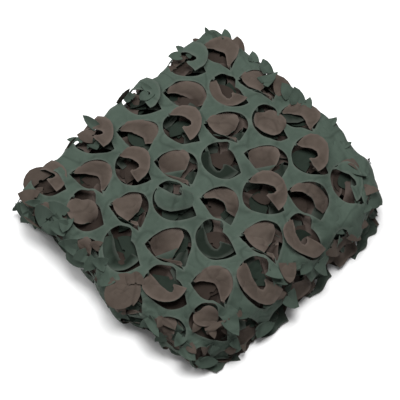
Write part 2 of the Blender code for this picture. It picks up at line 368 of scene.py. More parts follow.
@dataclass(frozen=True)
class FoldedPath:
    """Carries flat places of the cloth to their places in the folded pad.

    Attributes:
        pad: The pad's outer form.
        cloth: Thickness of the cloth.
        top_overhang: Length of cloth that hangs down past the top layer's end at +Y.
        wrap_radius: Radius of the bend from a layer to its hanging sides.
        ripple: Height of the layers' soft waves.
        warp: How far the cloth has shifted in its own plane.
        floor_step: How much higher each layer may sink than the one below it.
        floor_ease: The height over which sinking cloth slows down.
        slope_vary: How far the slope of the cut sides varies, in degrees.
        steepest: The steepest slope of the cut sides, in degrees.
        back_slope: Slope of the top layer's overhang, in degrees.
        back_wave: How far that slope varies, in radians, and how fast along X.
        bottom_width: Width of the bottom layer, as a share of the sheet's.
        outer_shade: How much painted shade the cloth gets on the outside of the lower folds and layers.
        layers: Each layer from the bottom up.
        folds: Each fold, by its upper layer from 1 up.
    """

    pad: PadForm = field(default_factory=PadForm)
    cloth: float = 0.0007
    top_overhang: float = 0.020
    wrap_radius: float = 0.010
    ripple: float = 0.0013
    warp: float = 0.0022
    floor_step: float = 0.0011
    floor_ease: float = 0.004
    slope_vary: float = 9.0
    steepest: float = 76.0
    back_slope: float = 58.0
    back_wave: tuple[float, float] = (0.25, 31.0)
    bottom_width: float = 0.93
    outer_shade: float = 0.25
    # Share of the height, ends at -Y and +Y, how far the cut sides slope down (degrees), and where they start to at
    # -X and at +X
    layers: tuple[tuple[float, float, float, float, float, float], ...] = (
        (0.000, -0.168, 0.176, 0.0, 0.000, 0.000),
        (0.150, -0.168, 0.170, 34.0, 0.148, 0.138),
        (0.300, -0.172, 0.170, 46.0, 0.154, 0.142),
        (0.450, -0.172, 0.168, 54.0, 0.158, 0.147),
        (0.570, -0.168, 0.174, 56.0, 0.160, 0.146),
        (0.700, -0.168, 0.180, 60.0, 0.162, 0.149),
        (0.830, -0.170, 0.181, 62.0, 0.163, 0.150),
        (1.000, -0.174, 0.180, 66.0, 0.165, 0.155),
    )
    # How far the fold bulges, and how far it hangs down
    folds: tuple[tuple[float, float], ...] = (
        (0.012, 0.012), (0.012, 0.016), (0.012, 0.018), (0.010, 0.022), (0.010, 0.022), (0.013, 0.026),
        (0.016, 0.046),
    )

    def stretches(self) -> list[Stretch]:
        """Lists the layers and folds from the top free edge to the end on the floor.

        Returns:
            The stretches in the order of v, from the greatest down.
        """
        found: list[Stretch] = []
        start = 0.0
        for layer in range(len(self.layers) - 1, -1, -1):
            _, front, back = self.layers[layer][:3]
            overhang = self.top_overhang if layer == len(self.layers) - 1 else 0.0
            length = back - front + overhang
            found.append(Stretch(layer, False, start, length))
            start += length
            if layer > 0:
                bulge, hang = self.folds[layer - 1]
                length = 2.0 * hang + 1.6 * bulge
                found.append(Stretch(layer, True, start, length))
                start += length
        return found

    def total(self) -> float:
        """Gives the whole length of cloth along the path."""
        last = self.stretches()[-1]
        return last.start + last.length

    def first_v(self) -> float:
        """Gives v at the top layer's free edge."""
        return self.layers[-1][2] + self.top_overhang

    def wrapped(self, past: np.ndarray, slope: np.ndarray) -> tuple[np.ndarray, np.ndarray]:
        """Bends cloth past an edge down to a slope.

        Args:
            past: How far each place lies past the start of the bend.
            slope: The slope it ends at, in radians.

        Returns:
            How far it then reaches out, and how far it drops.
        """
        past = np.maximum(past, 0.0)
        arc = np.minimum(past / self.wrap_radius, slope)
        rest = np.maximum(past - self.wrap_radius * slope, 0.0)
        out = self.wrap_radius * np.sin(arc) + rest * np.cos(slope)
        drop = self.wrap_radius * (1.0 - np.cos(arc)) + rest * np.sin(slope)
        return out, drop

    def on_layer(self, layer: int, x: np.ndarray, y: np.ndarray) -> np.ndarray:
        """Places points of one layer.

        Args:
            layer: The layer's number.
            x: Flat places along the folds.
            y: Places across the folds.

        Returns:
            An array of points.
        """
        share, _, back, slope, left, right = self.layers[layer]
        if layer == 0:
            out, drop = 0.0 * x, 0.0 * x
            flat_x = self.bottom_width * x
        else:
            start = np.where(x > 0, right, left)
            out, drop = self.wrapped(np.abs(x) - start, self.side_slope(layer, slope, x, y))
            flat_x = np.sign(x) * (np.minimum(np.abs(x), start) + out)
        flat_y = y
        if layer == len(self.layers) - 1:
            slope_y = np.radians(self.back_slope) + self.back_wave[0] * np.sin(self.back_wave[1] * x)
            out_y, drop_y = self.wrapped(y - back, slope_y)
            flat_y = np.minimum(y, back) + out_y
            drop = drop + drop_y
        on_top = np.clip(flat_x, -self.pad.half_width, self.pad.half_width)
        rise = share * (self.pad.top(on_top, flat_y) - self.cloth)
        ripple = Unevenness(self.ripple, 0.11, 40 + layer).at(x, y) * min(1.0, 3.0 * share)
        moved_x, moved_y = self.pad.swell(flat_x, flat_y)
        return np.stack([moved_x, moved_y, self.above_floor(rise + ripple - drop, layer)], 1)

    def side_slope(self, layer: int, slope: float, x: np.ndarray, y: np.ndarray) -> np.ndarray:
        """Gives how steeply the cut sides of a layer hang down, uneven along them."""
        turn = Unevenness(1.0, 0.10, 60 + layer).at(np.sign(x) * 0.4, y)
        return np.radians(np.clip(slope + self.slope_vary * turn, 0.0, self.steepest))

    def above_floor(self, z: np.ndarray, layer: int) -> np.ndarray:
        """Keeps heights above the floor, the lower layers the lowest.

        Args:
            z: The heights.
            layer: The layer's number.

        Returns:
            The heights, eased to stay above the layer's least height.
        """
        least = self.cloth / 2 + self.floor_step * layer
        eased = least + self.floor_ease * np.exp(np.minimum(0.0, (z - least) / self.floor_ease - 1.0))
        return np.where(z > least + self.floor_ease, z, eased)

    def on_fold(self, layer: int, x: np.ndarray, share: np.ndarray) -> np.ndarray:
        """Places points of the fold under one layer.

        Args:
            layer: The upper layer.
            x: Flat places along the fold.
            share: How far each place is along the fold's own length.

        Returns:
            An array of points.
        """
        top = len(self.layers) - 1
        at_front = (top - layer) % 2 == 0
        side = -1.0 if at_front else 1.0
        column = 1 if at_front else 2
        upper = self.on_layer(layer, x, np.full(np.shape(x), self.layers[layer][column]))
        lower = self.on_layer(layer - 1, x, np.full(np.shape(x), self.layers[layer - 1][column]))
        bulge, hang = self.folds[layer - 1]
        bulge = bulge * (1.0 + Unevenness(0.22, 0.09, 80 + layer).at(x, 0.0 * x))
        hang = hang * (1.0 + Unevenness(0.24, 0.12, 90 + layer).at(x, 0.0 * x))
        hang = np.minimum(hang, np.maximum(upper[:, 2] - 0.006, 0.004))
        nose = upper[:, 2] - 1.30 * hang
        steps = (
            (0.0 * bulge, upper[:, 2]), (1.15 * bulge, upper[:, 2] + 0.001), (1.5 * bulge, nose + 0.75 * hang),
            (1.45 * bulge, nose), (0.55 * bulge, nose), (0.15 * bulge, lower[:, 2]), (0.0 * bulge, lower[:, 2]),
        )
        points = upper + (lower - upper) * share[:, None]
        outward = np.zeros(np.shape(x))
        height = np.zeros(np.shape(x))
        degree = len(steps) - 1
        for index, (out, z) in enumerate(steps):
            weight = math.comb(degree, index) * share**index * (1.0 - share) ** (degree - index)
            outward += weight * out
            height += weight * z
        points[:, 1] += side * outward
        points[:, 2] = self.above_floor(height, layer)
        return points

    def base(self, x: np.ndarray, v: np.ndarray) -> np.ndarray:
        """Places flat points on the middle of the folded cloth.

        Args:
            x: Flat places along the folds.
            v: Flat places along the cloth.

        Returns:
            An array of points.
        """
        shift_x, shift_v = (Unevenness(self.warp, 0.10, seed).at(x, v) for seed in (31, 32))
        x, v = x + shift_x, v + shift_v
        along = self.first_v() - v
        points = np.zeros((len(x), 3))
        top = len(self.layers) - 1
        found = self.stretches()
        for place, stretch in enumerate(found):
            low = -1.0 if place == 0 else stretch.start
            high = 99.0 if place == len(found) - 1 else stretch.start + stretch.length
            inside = (along >= low) & (along < high)
            if not inside.any():
                continue
            done = along[inside] - stretch.start
            if stretch.is_fold:
                points[inside] = self.on_fold(stretch.layer, x[inside], done / stretch.length)
                continue
            front = self.layers[stretch.layer][1]
            if (top - stretch.layer) % 2 == 0:
                y = front + stretch.length - done
            else:
                y = front + done
            points[inside] = self.on_layer(stretch.layer, x[inside], y)
        return points

    def covered(self, x: np.ndarray, v: np.ndarray) -> np.ndarray:
        """Gives how well other layers cover flat places, as the painted shade that the cloth gets there.

        Args:
            x: Flat places along the folds.
            v: Flat places along the cloth.

        Returns:
            Shares from 0 for the outside to 1.
        """
        along = self.first_v() - np.asarray(v)
        # Painted shade: some on the lower folds, more inside the lower layers away from their ends, less towards the
        # cut sides
        kept = np.zeros(np.shape(x))
        for stretch in self.stretches()[2:]:
            done = along - stretch.start
            inside = (done >= 0.0) & (done < stretch.length)
            if stretch.is_fold:
                kept[inside] = self.outer_shade
                continue
            deep = smooth_step(np.minimum(done, stretch.length - done), 0.0, 0.02)
            side = smooth_step(np.abs(x), 0.150, 0.178)
            kept[inside] = (self.outer_shade + (1.0 - self.outer_shade) * deep * (1.0 - 0.7 * side))[inside]
        return kept

    def frame(self, x: np.ndarray, v: np.ndarray) -> tuple[np.ndarray, np.ndarray]:
        """Gives two directions at flat places: along X on the cloth, and the way that its green face looks.

        Args:
            x: Flat places along the folds.
            v: Flat places along the cloth.

        Returns:
            Both directions, each an array of unit vectors.
        """
        step = 0.0015
        along_x = self.base(x + step, v) - self.base(x - step, v)
        along_v = self.base(x, v + step) - self.base(x, v - step)
        normal = np.cross(along_x, along_v)
        normal /= np.maximum(np.linalg.norm(normal, axis=1), 1e-12)[:, None]
        along_x /= np.maximum(np.linalg.norm(along_x, axis=1), 1e-12)[:, None]
        return along_x, normal

    def lifted(self, x: np.ndarray, v: np.ndarray, lift: np.ndarray) -> np.ndarray:
        """Places flat points off the cloth, along the way that its green face looks.

        Args:
            x: Flat places along the folds.
            v: Flat places along the cloth.
            lift: How far each point stands off.

        Returns:
            An array of points.
        """
        _, normal = self.frame(x, v)
        placed = self.base(x, v) + normal * np.asarray(lift)[:, None]
        placed[:, 2] = np.maximum(placed[:, 2], self.cloth / 2)
        return placed


@dataclass(frozen=True)
class Figure:
    """One cut of the net.

    Attributes:
        kind: Which kind of cut it is.
        column: Its column, from -X.
        row: Its row, 0 for the first on the top layer at -Y, and below 0 past the edge there.
        x: Its middle along the folds.
        v: Its middle along the cloth.
    """

    kind: CutKind
    column: int
    row: int
    x: float
    v: float

    def reach(self, angle: np.ndarray) -> np.ndarray:
        """Gives the reach of the rim from the figure's middle, at angles in degrees.

        Args:
            angle: The angles.

        Returns:
            The reaches in metres.
        """
        table = DOWN_RIM if self.kind is CutKind.DOWN else UP_RIM
        rows = sorted((place % 360.0, far) for place, far in table[:-1])
        rows = [(rows[-1][0] - 360.0, rows[-1][1]), *rows, (rows[0][0] + 360.0, rows[0][1])]
        return MM * np.interp(np.asarray(angle) % 360.0, [row[0] for row in rows], [row[1] for row in rows])

    def corners(self) -> list[float]:
        """Lists the angles of the rim's sharp corners."""
        return list(DOWN_CORNERS if self.kind is CutKind.DOWN else UP_CORNERS)

    def necks(self) -> tuple[float, ...]:
        """Gives the angles of the necks that its flap hangs on."""
        return DOWN_NECKS if self.kind is CutKind.DOWN else UP_NECKS

    def key(self) -> tuple[CutKind, int, int]:
        """Gives its kind, column and row, as the tables name it."""
        return self.kind, self.column, self.row


@dataclass(frozen=True)
class FlapRow:
    """How one flap of the net lies.

    Attributes:
        shape: Its outline.
        way: How it lies on its neck.
        turn: How far it is turned about its neck, in degrees.
        near: Its lift over the cloth past the neck, in mm.
        far: Its lift at the far end, in mm.
        roll: How much higher its outer side lies than its inner side, in mm.
        bow: How far it is arched in the middle, in mm.
        size: Its size as a share of the full pattern.
        kept: How much painted shade it gets, from 0 for none to 1.
    """

    shape: FlapShape
    way: FlapWay
    turn: float = 0.0
    near: float = 2.0
    far: float = 2.0
    roll: float = 0.0
    bow: float = 0.0
    size: float = 1.0
    kept: float = 0.0

    def hangs_on_both(self) -> bool:
        """Tells whether it hangs on both tips of its hole."""
        return self.shape in (FlapShape.RIBBON, FlapShape.WAIST)


@dataclass(frozen=True)
class CutPattern:
    """The staggered rows of cuts over the flat cloth, and the outline of the sheet.

    Attributes:
        pitch_x: Distance between columns.
        pitch_v: Distance between rows of one kind.
        path: The folded path of the cloth.
        down_x: x of the down-cuts' column -1.
        down_v: v of their row 0.
        up_x: The same for the up-cuts.
        up_v: v of their row 0.
        half_width: Half the width of the flat sheet.
        ragged: How far its cut sides stray.
        radius: About the radius of a cut.
        bite: Radius of the bite that a cut takes out of a side.
        margin: The least cloth between a cut and a side.
        end_margins: How far the cuts' middles stay from the end on the floor and from the top's free edge.
        side_reach: How far past a side a cut's middle may lie.
        clash: How close the middles of two layers' cuts may be at a fold.
        shifts: How far each layer's cuts stand off the top layer's along X, from the bottom up.
    """

    path: FoldedPath = field(default_factory=FoldedPath)
    pitch_x: float = 0.0742
    pitch_v: float = 0.0875
    down_x: float = -0.1552
    down_v: float = -0.141
    up_x: float = -0.1882
    up_v: float = -0.104
    half_width: float = 0.192
    ragged: float = 0.0030
    radius: float = 0.027
    bite: float = 0.0205
    margin: float = 0.003
    end_margins: tuple[float, float] = (0.036, 0.034)
    side_reach: float = 0.012
    clash: float = 0.062
    shifts: tuple[float, ...] = (0.010, 0.044, -0.012, 0.030, 0.004, -0.030, 0.035, 0.0)

    def last_v(self) -> float:
        """Gives v at the end of the sheet on the floor."""
        return self.path.first_v() - self.path.total()

    def figures(self) -> list[Figure]:
        """Lists every cut that lies wholly or partly on the sheet.

        Returns:
            The cuts, in order of v from the greatest down.
        """
        found = []
        low, high = self.last_v() + self.end_margins[0], self.path.first_v() - self.end_margins[1]
        for kind, first_x, first_v in (
            (CutKind.DOWN, self.down_x, self.down_v),
            (CutKind.UP, self.up_x, self.up_v),
        ):
            for row in range(4, -60, -1):
                v = first_v + row * self.pitch_v
                if not low < v < high:
                    continue
                for column in range(-2, 6):
                    key = (kind, column, row)
                    nudge_x, nudge_v = NUDGES.get(key, (0, 0))
                    x = first_x + (column + 1) * self.pitch_x + MM * nudge_x + self.layer_shift(v)
                    if abs(x) < self.half_width + self.side_reach and key not in SKIPPED:
                        found.append(Figure(kind, column, row, x, v + MM * nudge_v))
        return self.without_clashes(sorted(found, key=lambda figure: -figure.v))

    def without_clashes(self, figures: Sequence[Figure]) -> list[Figure]:
        """Leaves out a cut where two layers' rows would run into each other at a fold.

        Args:
            figures: The cuts, in order of v.

        Returns:
            Those that stay.
        """
        kept: list[Figure] = []
        for figure in figures:
            shift = self.layer_shift(figure.v)
            here = (figure.x, figure.v)
            close = [other for other in kept[-16:] if math.dist((other.x, other.v), here) < self.clash]
            if all(abs(self.layer_shift(other.v) - shift) < 1e-6 for other in close):
                kept.append(figure)
        return kept

    def layer_shift(self, v: float) -> float:
        """Gives how far the cuts of the layer at v stand off along X from the top layer's.

        Args:
            v: Place along the cloth.

        Returns:
            The shift in metres.
        """
        done = self.path.first_v() - v
        for stretch in self.path.stretches():
            if done < stretch.start + stretch.length:
                break
        if stretch.start < 0.5 * self.path.stretches()[1].start:
            return 0.0
        return self.shifts[min(stretch.layer, len(self.shifts) - 1)]

    def is_whole(self, figure: Figure) -> bool:
        """Tells whether a cut's rim stays clear of the sheet's sides.

        Args:
            figure: The cut.

        Returns:
            True where it does.
        """
        angles = np.arange(0.0, 360.0, 6.0)
        reach = figure.reach(angles)
        far = np.abs(figure.x + reach * np.cos(np.radians(angles))).max()
        return bool(far < self.half_width - self.ragged - self.margin + 0.0005)

    def side(self, sign: float, v: np.ndarray, bitten: Sequence[Figure]) -> np.ndarray:
        """Gives x of one cut side of the sheet, with a bite where a cut runs over it.

        Args:
            sign: -1 for the -X side, +1 for the other.
            v: Places along the cloth.
            bitten: The cuts that run over this side.

        Returns:
            The x of the side.
        """
        reach = self.half_width + Unevenness(self.ragged, 0.035, 7 if sign > 0 else 8).at(v, v * 0.3)
        for figure in bitten:
            inside = np.maximum(self.bite**2 - (v - figure.v) ** 2, 0.0)
            bite = abs(figure.x) - np.sqrt(inside)
            reach = np.where(inside > 0.0, np.minimum(reach, bite), reach)
        return sign * reach


class ClothMesh:
    """Collects the cloth's points and faces, with the flat place, the wear and the painted shade of each point."""

    def __init__(self, path: FoldedPath) -> None:
        """Starts with an empty mesh on a folded path.

        Args:
            path: The folded path.
        """
        self.path = path
        self.points: list[np.ndarray] = []
        self.flats: list[tuple[float, float]] = []
        self.wear: list[float] = []
        self.shade: list[float] = []
        self.faces: list[tuple[int, ...]] = []

    def add(self, x: Sequence[float], v: Sequence[float], lift: Sequence[float], kept: float = 0.0) -> list[int]:
        """Adds points by their flat places.

        Args:
            x: Flat places along the folds.
            v: Flat places along the cloth.
            lift: How far each stands off the cloth.
            kept: How much painted shade it gets, apart from where it is covered.

        Returns:
            The points' numbers.
        """
        x, v, lift = np.asarray(x, float), np.asarray(v, float), np.asarray(lift, float)
        placed = self.path.lifted(x, v, lift)
        # Painted shade where other layers cover the cloth, where it hangs deep in a cut, and the flap's own amount
        shade = np.clip(self.path.covered(x, v) - np.minimum(lift + SUNK_FROM, 0.0) / SUNK_BY + kept, 0.0, 1.0)
        return [self.add_point(*place, 0.0, dye) for *place, dye in zip(placed, zip(x, v), shade)]

    def add_point(self, point: np.ndarray, flat: tuple[float, float], wear: float = 0.0, shade: float = 0.0) -> int:
        """Adds one placed point and returns its number.

        Args:
            point: Its place.
            flat: Its flat place.
            wear: How worn it is, from 0 to 1.
            shade: How much painted shade it gets.

        Returns:
            The point's number.
        """
        self.shade.append(float(shade))
        self.points.append(np.asarray(point, float))
        self.flats.append((float(flat[0]), float(flat[1])))
        self.wear.append(wear)
        return len(self.points) - 1

    def stitch(self, low: Sequence[int], high: Sequence[int]) -> None:
        """Joins two rows of points, which may have different numbers of points.

        Args:
            low: The first row.
            high: The second row, of as many points, or of more where the first has two.
        """
        if len(low) == len(high):
            for step in range(len(low) - 1):
                self.faces.append((low[step], low[step + 1], high[step + 1], high[step]))
            return
        middle = len(high) // 2
        for step in range(len(high) - 1):
            self.faces.append((low[0] if step < middle else low[1], high[step + 1], high[step]))
        self.faces.append((low[0], low[1], high[middle]))


@dataclass
class NetSheet:
    """The folded sheet of the net with its cuts and flaps, as one piece.

    Attributes:
        name: The piece's name.
        pattern: Its cuts and its outline.
        fine: Spacing of its points where it is seen.
        coarse: Their spacing where it is hidden.
        on_folds: Their spacing on the hidden folds.
        row_share: Distance between rows of points, as a share of their spacing.
        edge_step: Spacing of the points along its cut sides.
        edge_clear: The least distance of the other points from its outline.
        rim_steps: Degrees between the points of a rim, where it is seen and where it is hidden.
        rim_clear: The least degrees between a rim's other points and its corners and necks.
        neck: Width of the necks.
        across: Number of points across a flap.
        along: Number of points along a flap.
        hidden_across: Number of points across a flap that is hidden.
        hidden_along: Number of points along one.
        high_enough: Height from which cloth belongs to the top layer.
        waves: The sheet's own soft waves.
        flap_waves: Those of the flaps.
        droops: How far the leaves inside the cuts droop (below 0) or lift.
    """

    name: str = "net_sheet"
    pattern: CutPattern = field(default_factory=CutPattern)
    fine: float = 0.0034
    coarse: float = 0.0080
    on_folds: float = 0.0052
    row_share: float = 0.87
    edge_step: float = 0.0045
    edge_clear: float = 0.0024
    rim_steps: tuple[float, float] = (9.0, 20.0)
    rim_clear: float = 3.5
    neck: float = 0.0050
    across: int = 5
    along: int = 15
    hidden_across: int = 3
    hidden_along: int = 8
    high_enough: float = 0.078
    waves: tuple[Unevenness, Unevenness] = (Unevenness(0.0024, 0.060, 11), Unevenness(0.0008, 0.023, 12))
    flap_waves: tuple[Unevenness, Unevenness] = (Unevenness(0.0013, 0.030, 21), Unevenness(0.0006, 0.014, 22))
    droops: tuple[float, float] = (-0.0060, 0.0018)

    def build(self, green: bpy.types.Material, brown: bpy.types.Material) -> bpy.types.Object:
        """Builds the piece.

        Args:
            green: The material of its upper face.
            brown: The material of its other face.

        Returns:
            The finished object.
        """
        figures = self.pattern.figures()
        whole = [figure for figure in figures if self.pattern.is_whole(figure)]
        bitten = [figure for figure in figures if not self.pattern.is_whole(figure)]
        mesh = ClothMesh(self.pattern.path)
        necks = self.add_sheet(mesh, whole, bitten)
        for figure in whole:
            self.add_flap(mesh, figure, flap_row(figure), necks[figure.key()])
        return self.dress(mesh, green, brown)

    def is_seen(self, v: np.ndarray) -> np.ndarray:
        """Tells which flat places are on the top layer or the first fold."""
        stretches = self.pattern.path.stretches()
        return self.pattern.path.first_v() - v < stretches[1].start + stretches[1].length

    def rim_angles(self, figure: Figure) -> tuple[list[float], list[list[int]]]:
        """Gives the angles of one hole's rim points, and the places of its necks' points in that list.

        Args:
            figure: The hole's figure.

        Returns:
            The angles in order, and two places in that list for each neck.
        """
        spacing = self.rim_steps[0 if self.is_seen(np.array([figure.v]))[0] else 1]
        keep = list(np.arange(0.0, 360.0, spacing)) + figure.corners()
        necks = []
        for middle in figure.necks():
            half = math.degrees(self.neck / 2 / float(figure.reach(np.array([middle]))[0]))
            necks.append((full_turn(middle - half), full_turn(middle + half)))
            keep = [angle for angle in keep if apart(angle, middle) > 1.7 * half]
        ends = {angle for pair in necks for angle in pair}
        fixed = ends | {full_turn(angle) for angle in figure.corners()}
        clean = [
            angle
            for angle in sorted({full_turn(angle) for angle in keep} | ends)
            if angle in fixed or all(apart(angle, other) > self.rim_clear for other in fixed)
        ]
        return clean, [[clean.index(angle) for angle in pair] for pair in necks]

    def add_sheet(
        self, mesh: ClothMesh, whole: Sequence[Figure], bitten: Sequence[Figure]
    ) -> dict[tuple[CutKind, int, int], list[tuple[int, int]]]:
        """Adds the sheet between its outline and its holes.

        Args:
            mesh: Where it goes.
            whole: The cuts inside the sheet.
            bitten: The cuts that run over its sides.

        Returns:
            The two rim points of each neck, by figure.
        """
        loops = [self.outline(bitten)]
        necks = {}
        for figure in whole:
            angles, pairs = self.rim_angles(figure)
            reach = figure.reach(np.array(angles))
            turn = np.radians(angles)
            loops.append(list(zip(figure.x + reach * np.cos(turn), figure.v + reach * np.sin(turn))))
            necks[figure.key()] = pairs
        starts = np.cumsum([0] + [len(loop) for loop in loops])
        inner = self.grid(whole, loops[0])
        flat = [place for loop in loops for place in loop] + inner
        edges = [
            (start + step, start + (step + 1) % len(loop))
            for start, loop in zip(starts, loops)
            for step in range(len(loop))
        ]
        made = delaunay_2d_cdt([Vector(place) for place in flat], edges, [], 0, 1e-8)
        owner = np.zeros(len(flat), int) - 1
        for number, (start, loop) in enumerate(zip(starts, loops)):
            owner[start : start + len(loop)] = number
        x = np.array([place[0] for place in flat])
        v = np.array([place[1] for place in flat])
        lift = self.relief(x, v, whole)
        numbers = mesh.add(x, v, lift)
        for number in range(int(starts[-1])):
            mesh.wear[numbers[number]] = 1.0
        for face in made[2]:
            corners = [made[3][index][0] for index in face]
            owners = {owner[index] for index in corners}
            if len(owners) == 1 and -1 not in owners:
                middle = (float(x[corners].mean()), float(v[corners].mean()))
                loop = loops[owners.pop()]
                if is_inside(middle, loop) != (loop is loops[0]):
                    continue
            a, b, c = (flat[index] for index in corners)
            if (b[0] - a[0]) * (c[1] - a[1]) - (b[1] - a[1]) * (c[0] - a[0]) < 0:
                corners = corners[::-1]
            mesh.faces.append(tuple(numbers[index] for index in corners))
        found = {}
        for number, figure in enumerate(whole, 1):
            pairs, start = necks[figure.key()], int(starts[number])
            found[figure.key()] = [tuple(numbers[start + place] for place in pair) for pair in pairs]
        return found

    def outline(self, bitten: Sequence[Figure]) -> list[tuple[float, float]]:
        """Gives the sheet's cut outline as flat places, anticlockwise.

        Args:
            bitten: The cuts that run over the sides.

        Returns:
            The places of the outline in order.
        """
        first, last = self.pattern.path.first_v(), self.pattern.last_v()
        right = [figure for figure in bitten if figure.x > 0]
        left = [figure for figure in bitten if figure.x < 0]
        down = np.linspace(last, first, int((first - last) / self.edge_step))
        right_x = self.pattern.side(1.0, down, right)
        left_x = self.pattern.side(-1.0, down, left)
        across = np.linspace(left_x[-1], right_x[-1], 70)[1:-1]
        wave = Unevenness(0.0022, 0.05, 3)
        loop = list(zip(right_x, down))
        loop += [(x, first + float(wave.at(np.array([x]), np.array([0.0]))[0])) for x in across[::-1]]
        loop += list(zip(left_x[::-1], down[::-1]))
        loop += [(x, last) for x in across[::3]]
        return [(float(x), float(v)) for x, v in loop]

    def grid(self, whole: Sequence[Figure], outline: Sequence[tuple[float, float]]) -> list[tuple[float, float]]:
        """Gives the points inside the sheet: close together where it is seen, wider where it is hidden.

        Args:
            whole: The cuts inside the sheet.
            outline: The sheet's outline.

        Returns:
            The places of the points.
        """
        first, last = self.pattern.path.first_v(), self.pattern.last_v()
        found = []
        rows = []
        at = first - self.fine * 0.7
        folds = [(s.start, s.start + s.length) for s in self.pattern.path.stretches() if s.is_fold]
        while at > last + self.fine:
            done = first - at
            on_fold = any(low - 0.004 < done < high + 0.004 for low, high in folds)
            spacing = self.fine if self.is_seen(np.array([at]))[0] else (self.on_folds if on_fold else self.coarse)
            rows.append((at, spacing))
            at -= spacing * self.row_share
        edge = np.array(outline)
        for number, (v, spacing) in enumerate(rows):
            x = np.arange(-0.2, 0.2, spacing) + (spacing / 2 if number % 2 else 0.0)
            if spacing == self.coarse:
                sides = np.arange(0.156, 0.2, self.edge_step)
                x = np.concatenate([x[np.abs(x) < 0.154], sides, -sides])
            clear = 0.6 * spacing
            keep = np.abs(x) < self.pattern.half_width + 0.01
            near = np.abs(edge[:, 1] - v) < 0.012
            for point in edge[near]:
                keep &= (x - point[0]) ** 2 + (v - point[1]) ** 2 > self.edge_clear**2
            row_edge = edge[near & (np.abs(edge[:, 1] - v) < self.edge_step)]
            keep &= x < row_edge[row_edge[:, 0] > 0][:, 0].min() - MM if (row_edge[:, 0] > 0).any() else True
            keep &= x > row_edge[row_edge[:, 0] < 0][:, 0].max() + MM if (row_edge[:, 0] < 0).any() else True
            for figure in whole:
                if abs(figure.v - v) > 0.045:
                    continue
                angle = np.degrees(np.arctan2(v - figure.v, x - figure.x))
                keep &= np.hypot(x - figure.x, v - figure.v) > figure.reach(angle) + clear
            found.extend((float(place), float(v)) for place in x[keep])
        return found

    def relief(self, x: np.ndarray, v: np.ndarray, whole: Sequence[Figure]) -> np.ndarray:
        """Gives the cloth's own unevenness: soft waves, and leaves that droop or lift inside the cuts.

        Args:
            x: Flat places along the folds.
            v: Flat places along the cloth.
            whole: The cuts inside the sheet.

        Returns:
            How far each place stands off the folded path.
        """
        lift = self.waves[0].at(x, v) + self.waves[1].at(x, v)
        rng = np.random.default_rng(5)
        for figure in whole:
            droop = rng.uniform(*self.droops)
            distance = np.hypot(x - figure.x, v - figure.v)
            inside = distance < self.pattern.radius
            depth = (self.pattern.radius - distance[inside]) / 0.012
            lift[inside] += droop * depth**1.4
        return lift

    def add_flap(self, mesh: ClothMesh, figure: Figure, row: FlapRow, ends: Sequence[tuple[int, int]]) -> None:
        """Adds one flap on its neck, or a ribbon on its two necks.

        Args:
            mesh: Where it goes.
            figure: The cut that it came from.
            row: How it lies.
            ends: The rim points of the figure's necks.
        """
        seen = self.is_seen(np.array([figure.v]))[0]
        along, across = (self.along, self.across) if seen else (self.hidden_along, self.hidden_across)
        places = flap_places(row, along, across)
        share = np.linspace(0.0, 1.0, along)[:, None] + np.zeros((1, across))
        side = np.zeros((along, 1)) + np.linspace(0.0, 1.0, across)[None, :]
        lift = row.near + (row.far - row.near) * share**1.3 + row.bow * np.sin(math.pi * share)
        lift = lift + row.roll * (side - 0.5) * np.minimum(1.0, 4.0 * share)
        if row.hangs_on_both():
            lift = lift - row.roll * (side - 0.5) * np.clip(4.0 * share - 3.0, 0.0, 1.0)
        x = figure.x + places[:, :, 0]
        v = figure.v + places[:, :, 1]
        lift = MM * lift + self.flap_waves[0].at(x, v) + self.flap_waves[1].at(x, v)
        # The flap's kept value is extra painted shade
        numbers = np.array(mesh.add(x.ravel(), v.ravel(), lift.ravel(), row.kept)).reshape(along, across)
        for low, high in zip(numbers, numbers[1:]):
            mesh.stitch(low.tolist(), high.tolist())
        for edge in (numbers[:, 0], numbers[:, -1], numbers[-1]):
            for number in edge:
                mesh.wear[number] = 1.0
        reverse = row.way in (FlapWay.TWISTED, FlapWay.SWUNG)
        first_is_outer = figure.kind is CutKind.UP
        start = numbers[0] if first_is_outer == reverse else numbers[0][::-1]
        self.add_neck(mesh, ends[0], start.tolist())
        if row.hangs_on_both():
            stop = numbers[-1][::-1] if reverse else numbers[-1]
            self.add_neck(mesh, ends[1], stop.tolist())

    def add_neck(self, mesh: ClothMesh, end: tuple[int, int], row: Sequence[int]) -> None:
        """Adds the narrow neck between two rim points and the first row of a flap.

        Args:
            mesh: Where it goes.
            end: The two rim points.
            row: The flap's row, its first point being the one that the first rim point leads to.
        """
        first, second = (mesh.points[number] for number in end)
        near, far = mesh.points[row[0]], mesh.points[row[-1]]
        start, stop = (first + second) / 2, (near + far) / 2
        before, after = second - first, far - near
        width = np.linalg.norm(before)
        ahead = stop - start
        turned = np.dot(before, after) < 0.3 * width * np.linalg.norm(after)
        middle = np.cross(ahead, before) if turned else before + after
        middle = middle * width / max(float(np.linalg.norm(middle)), 1e-9)
        flat_start = np.array(mesh.flats[end[0]]) + np.array(mesh.flats[end[1]])
        flat_stop = np.array(mesh.flats[row[0]]) + np.array(mesh.flats[row[-1]])
        low = list(end)
        for share in (0.25, 0.5, 0.75):
            blend = (1.0 - 2.0 * share) * before + 2.0 * share * middle
            if share > 0.5:
                blend = (2.0 - 2.0 * share) * middle + (2.0 * share - 1.0) * after
            blend = blend * (0.85 * width / max(float(np.linalg.norm(blend)), 1e-9))
            centre = start + ahead * share
            flat = (flat_start + (flat_stop - flat_start) * share) / 2
            high = [mesh.add_point(centre + way * blend / 2, (flat[0], flat[1]), 1.0) for way in (-1.0, 1.0)]
            mesh.stitch(low, high)
            low = high
        mesh.stitch(low, row)

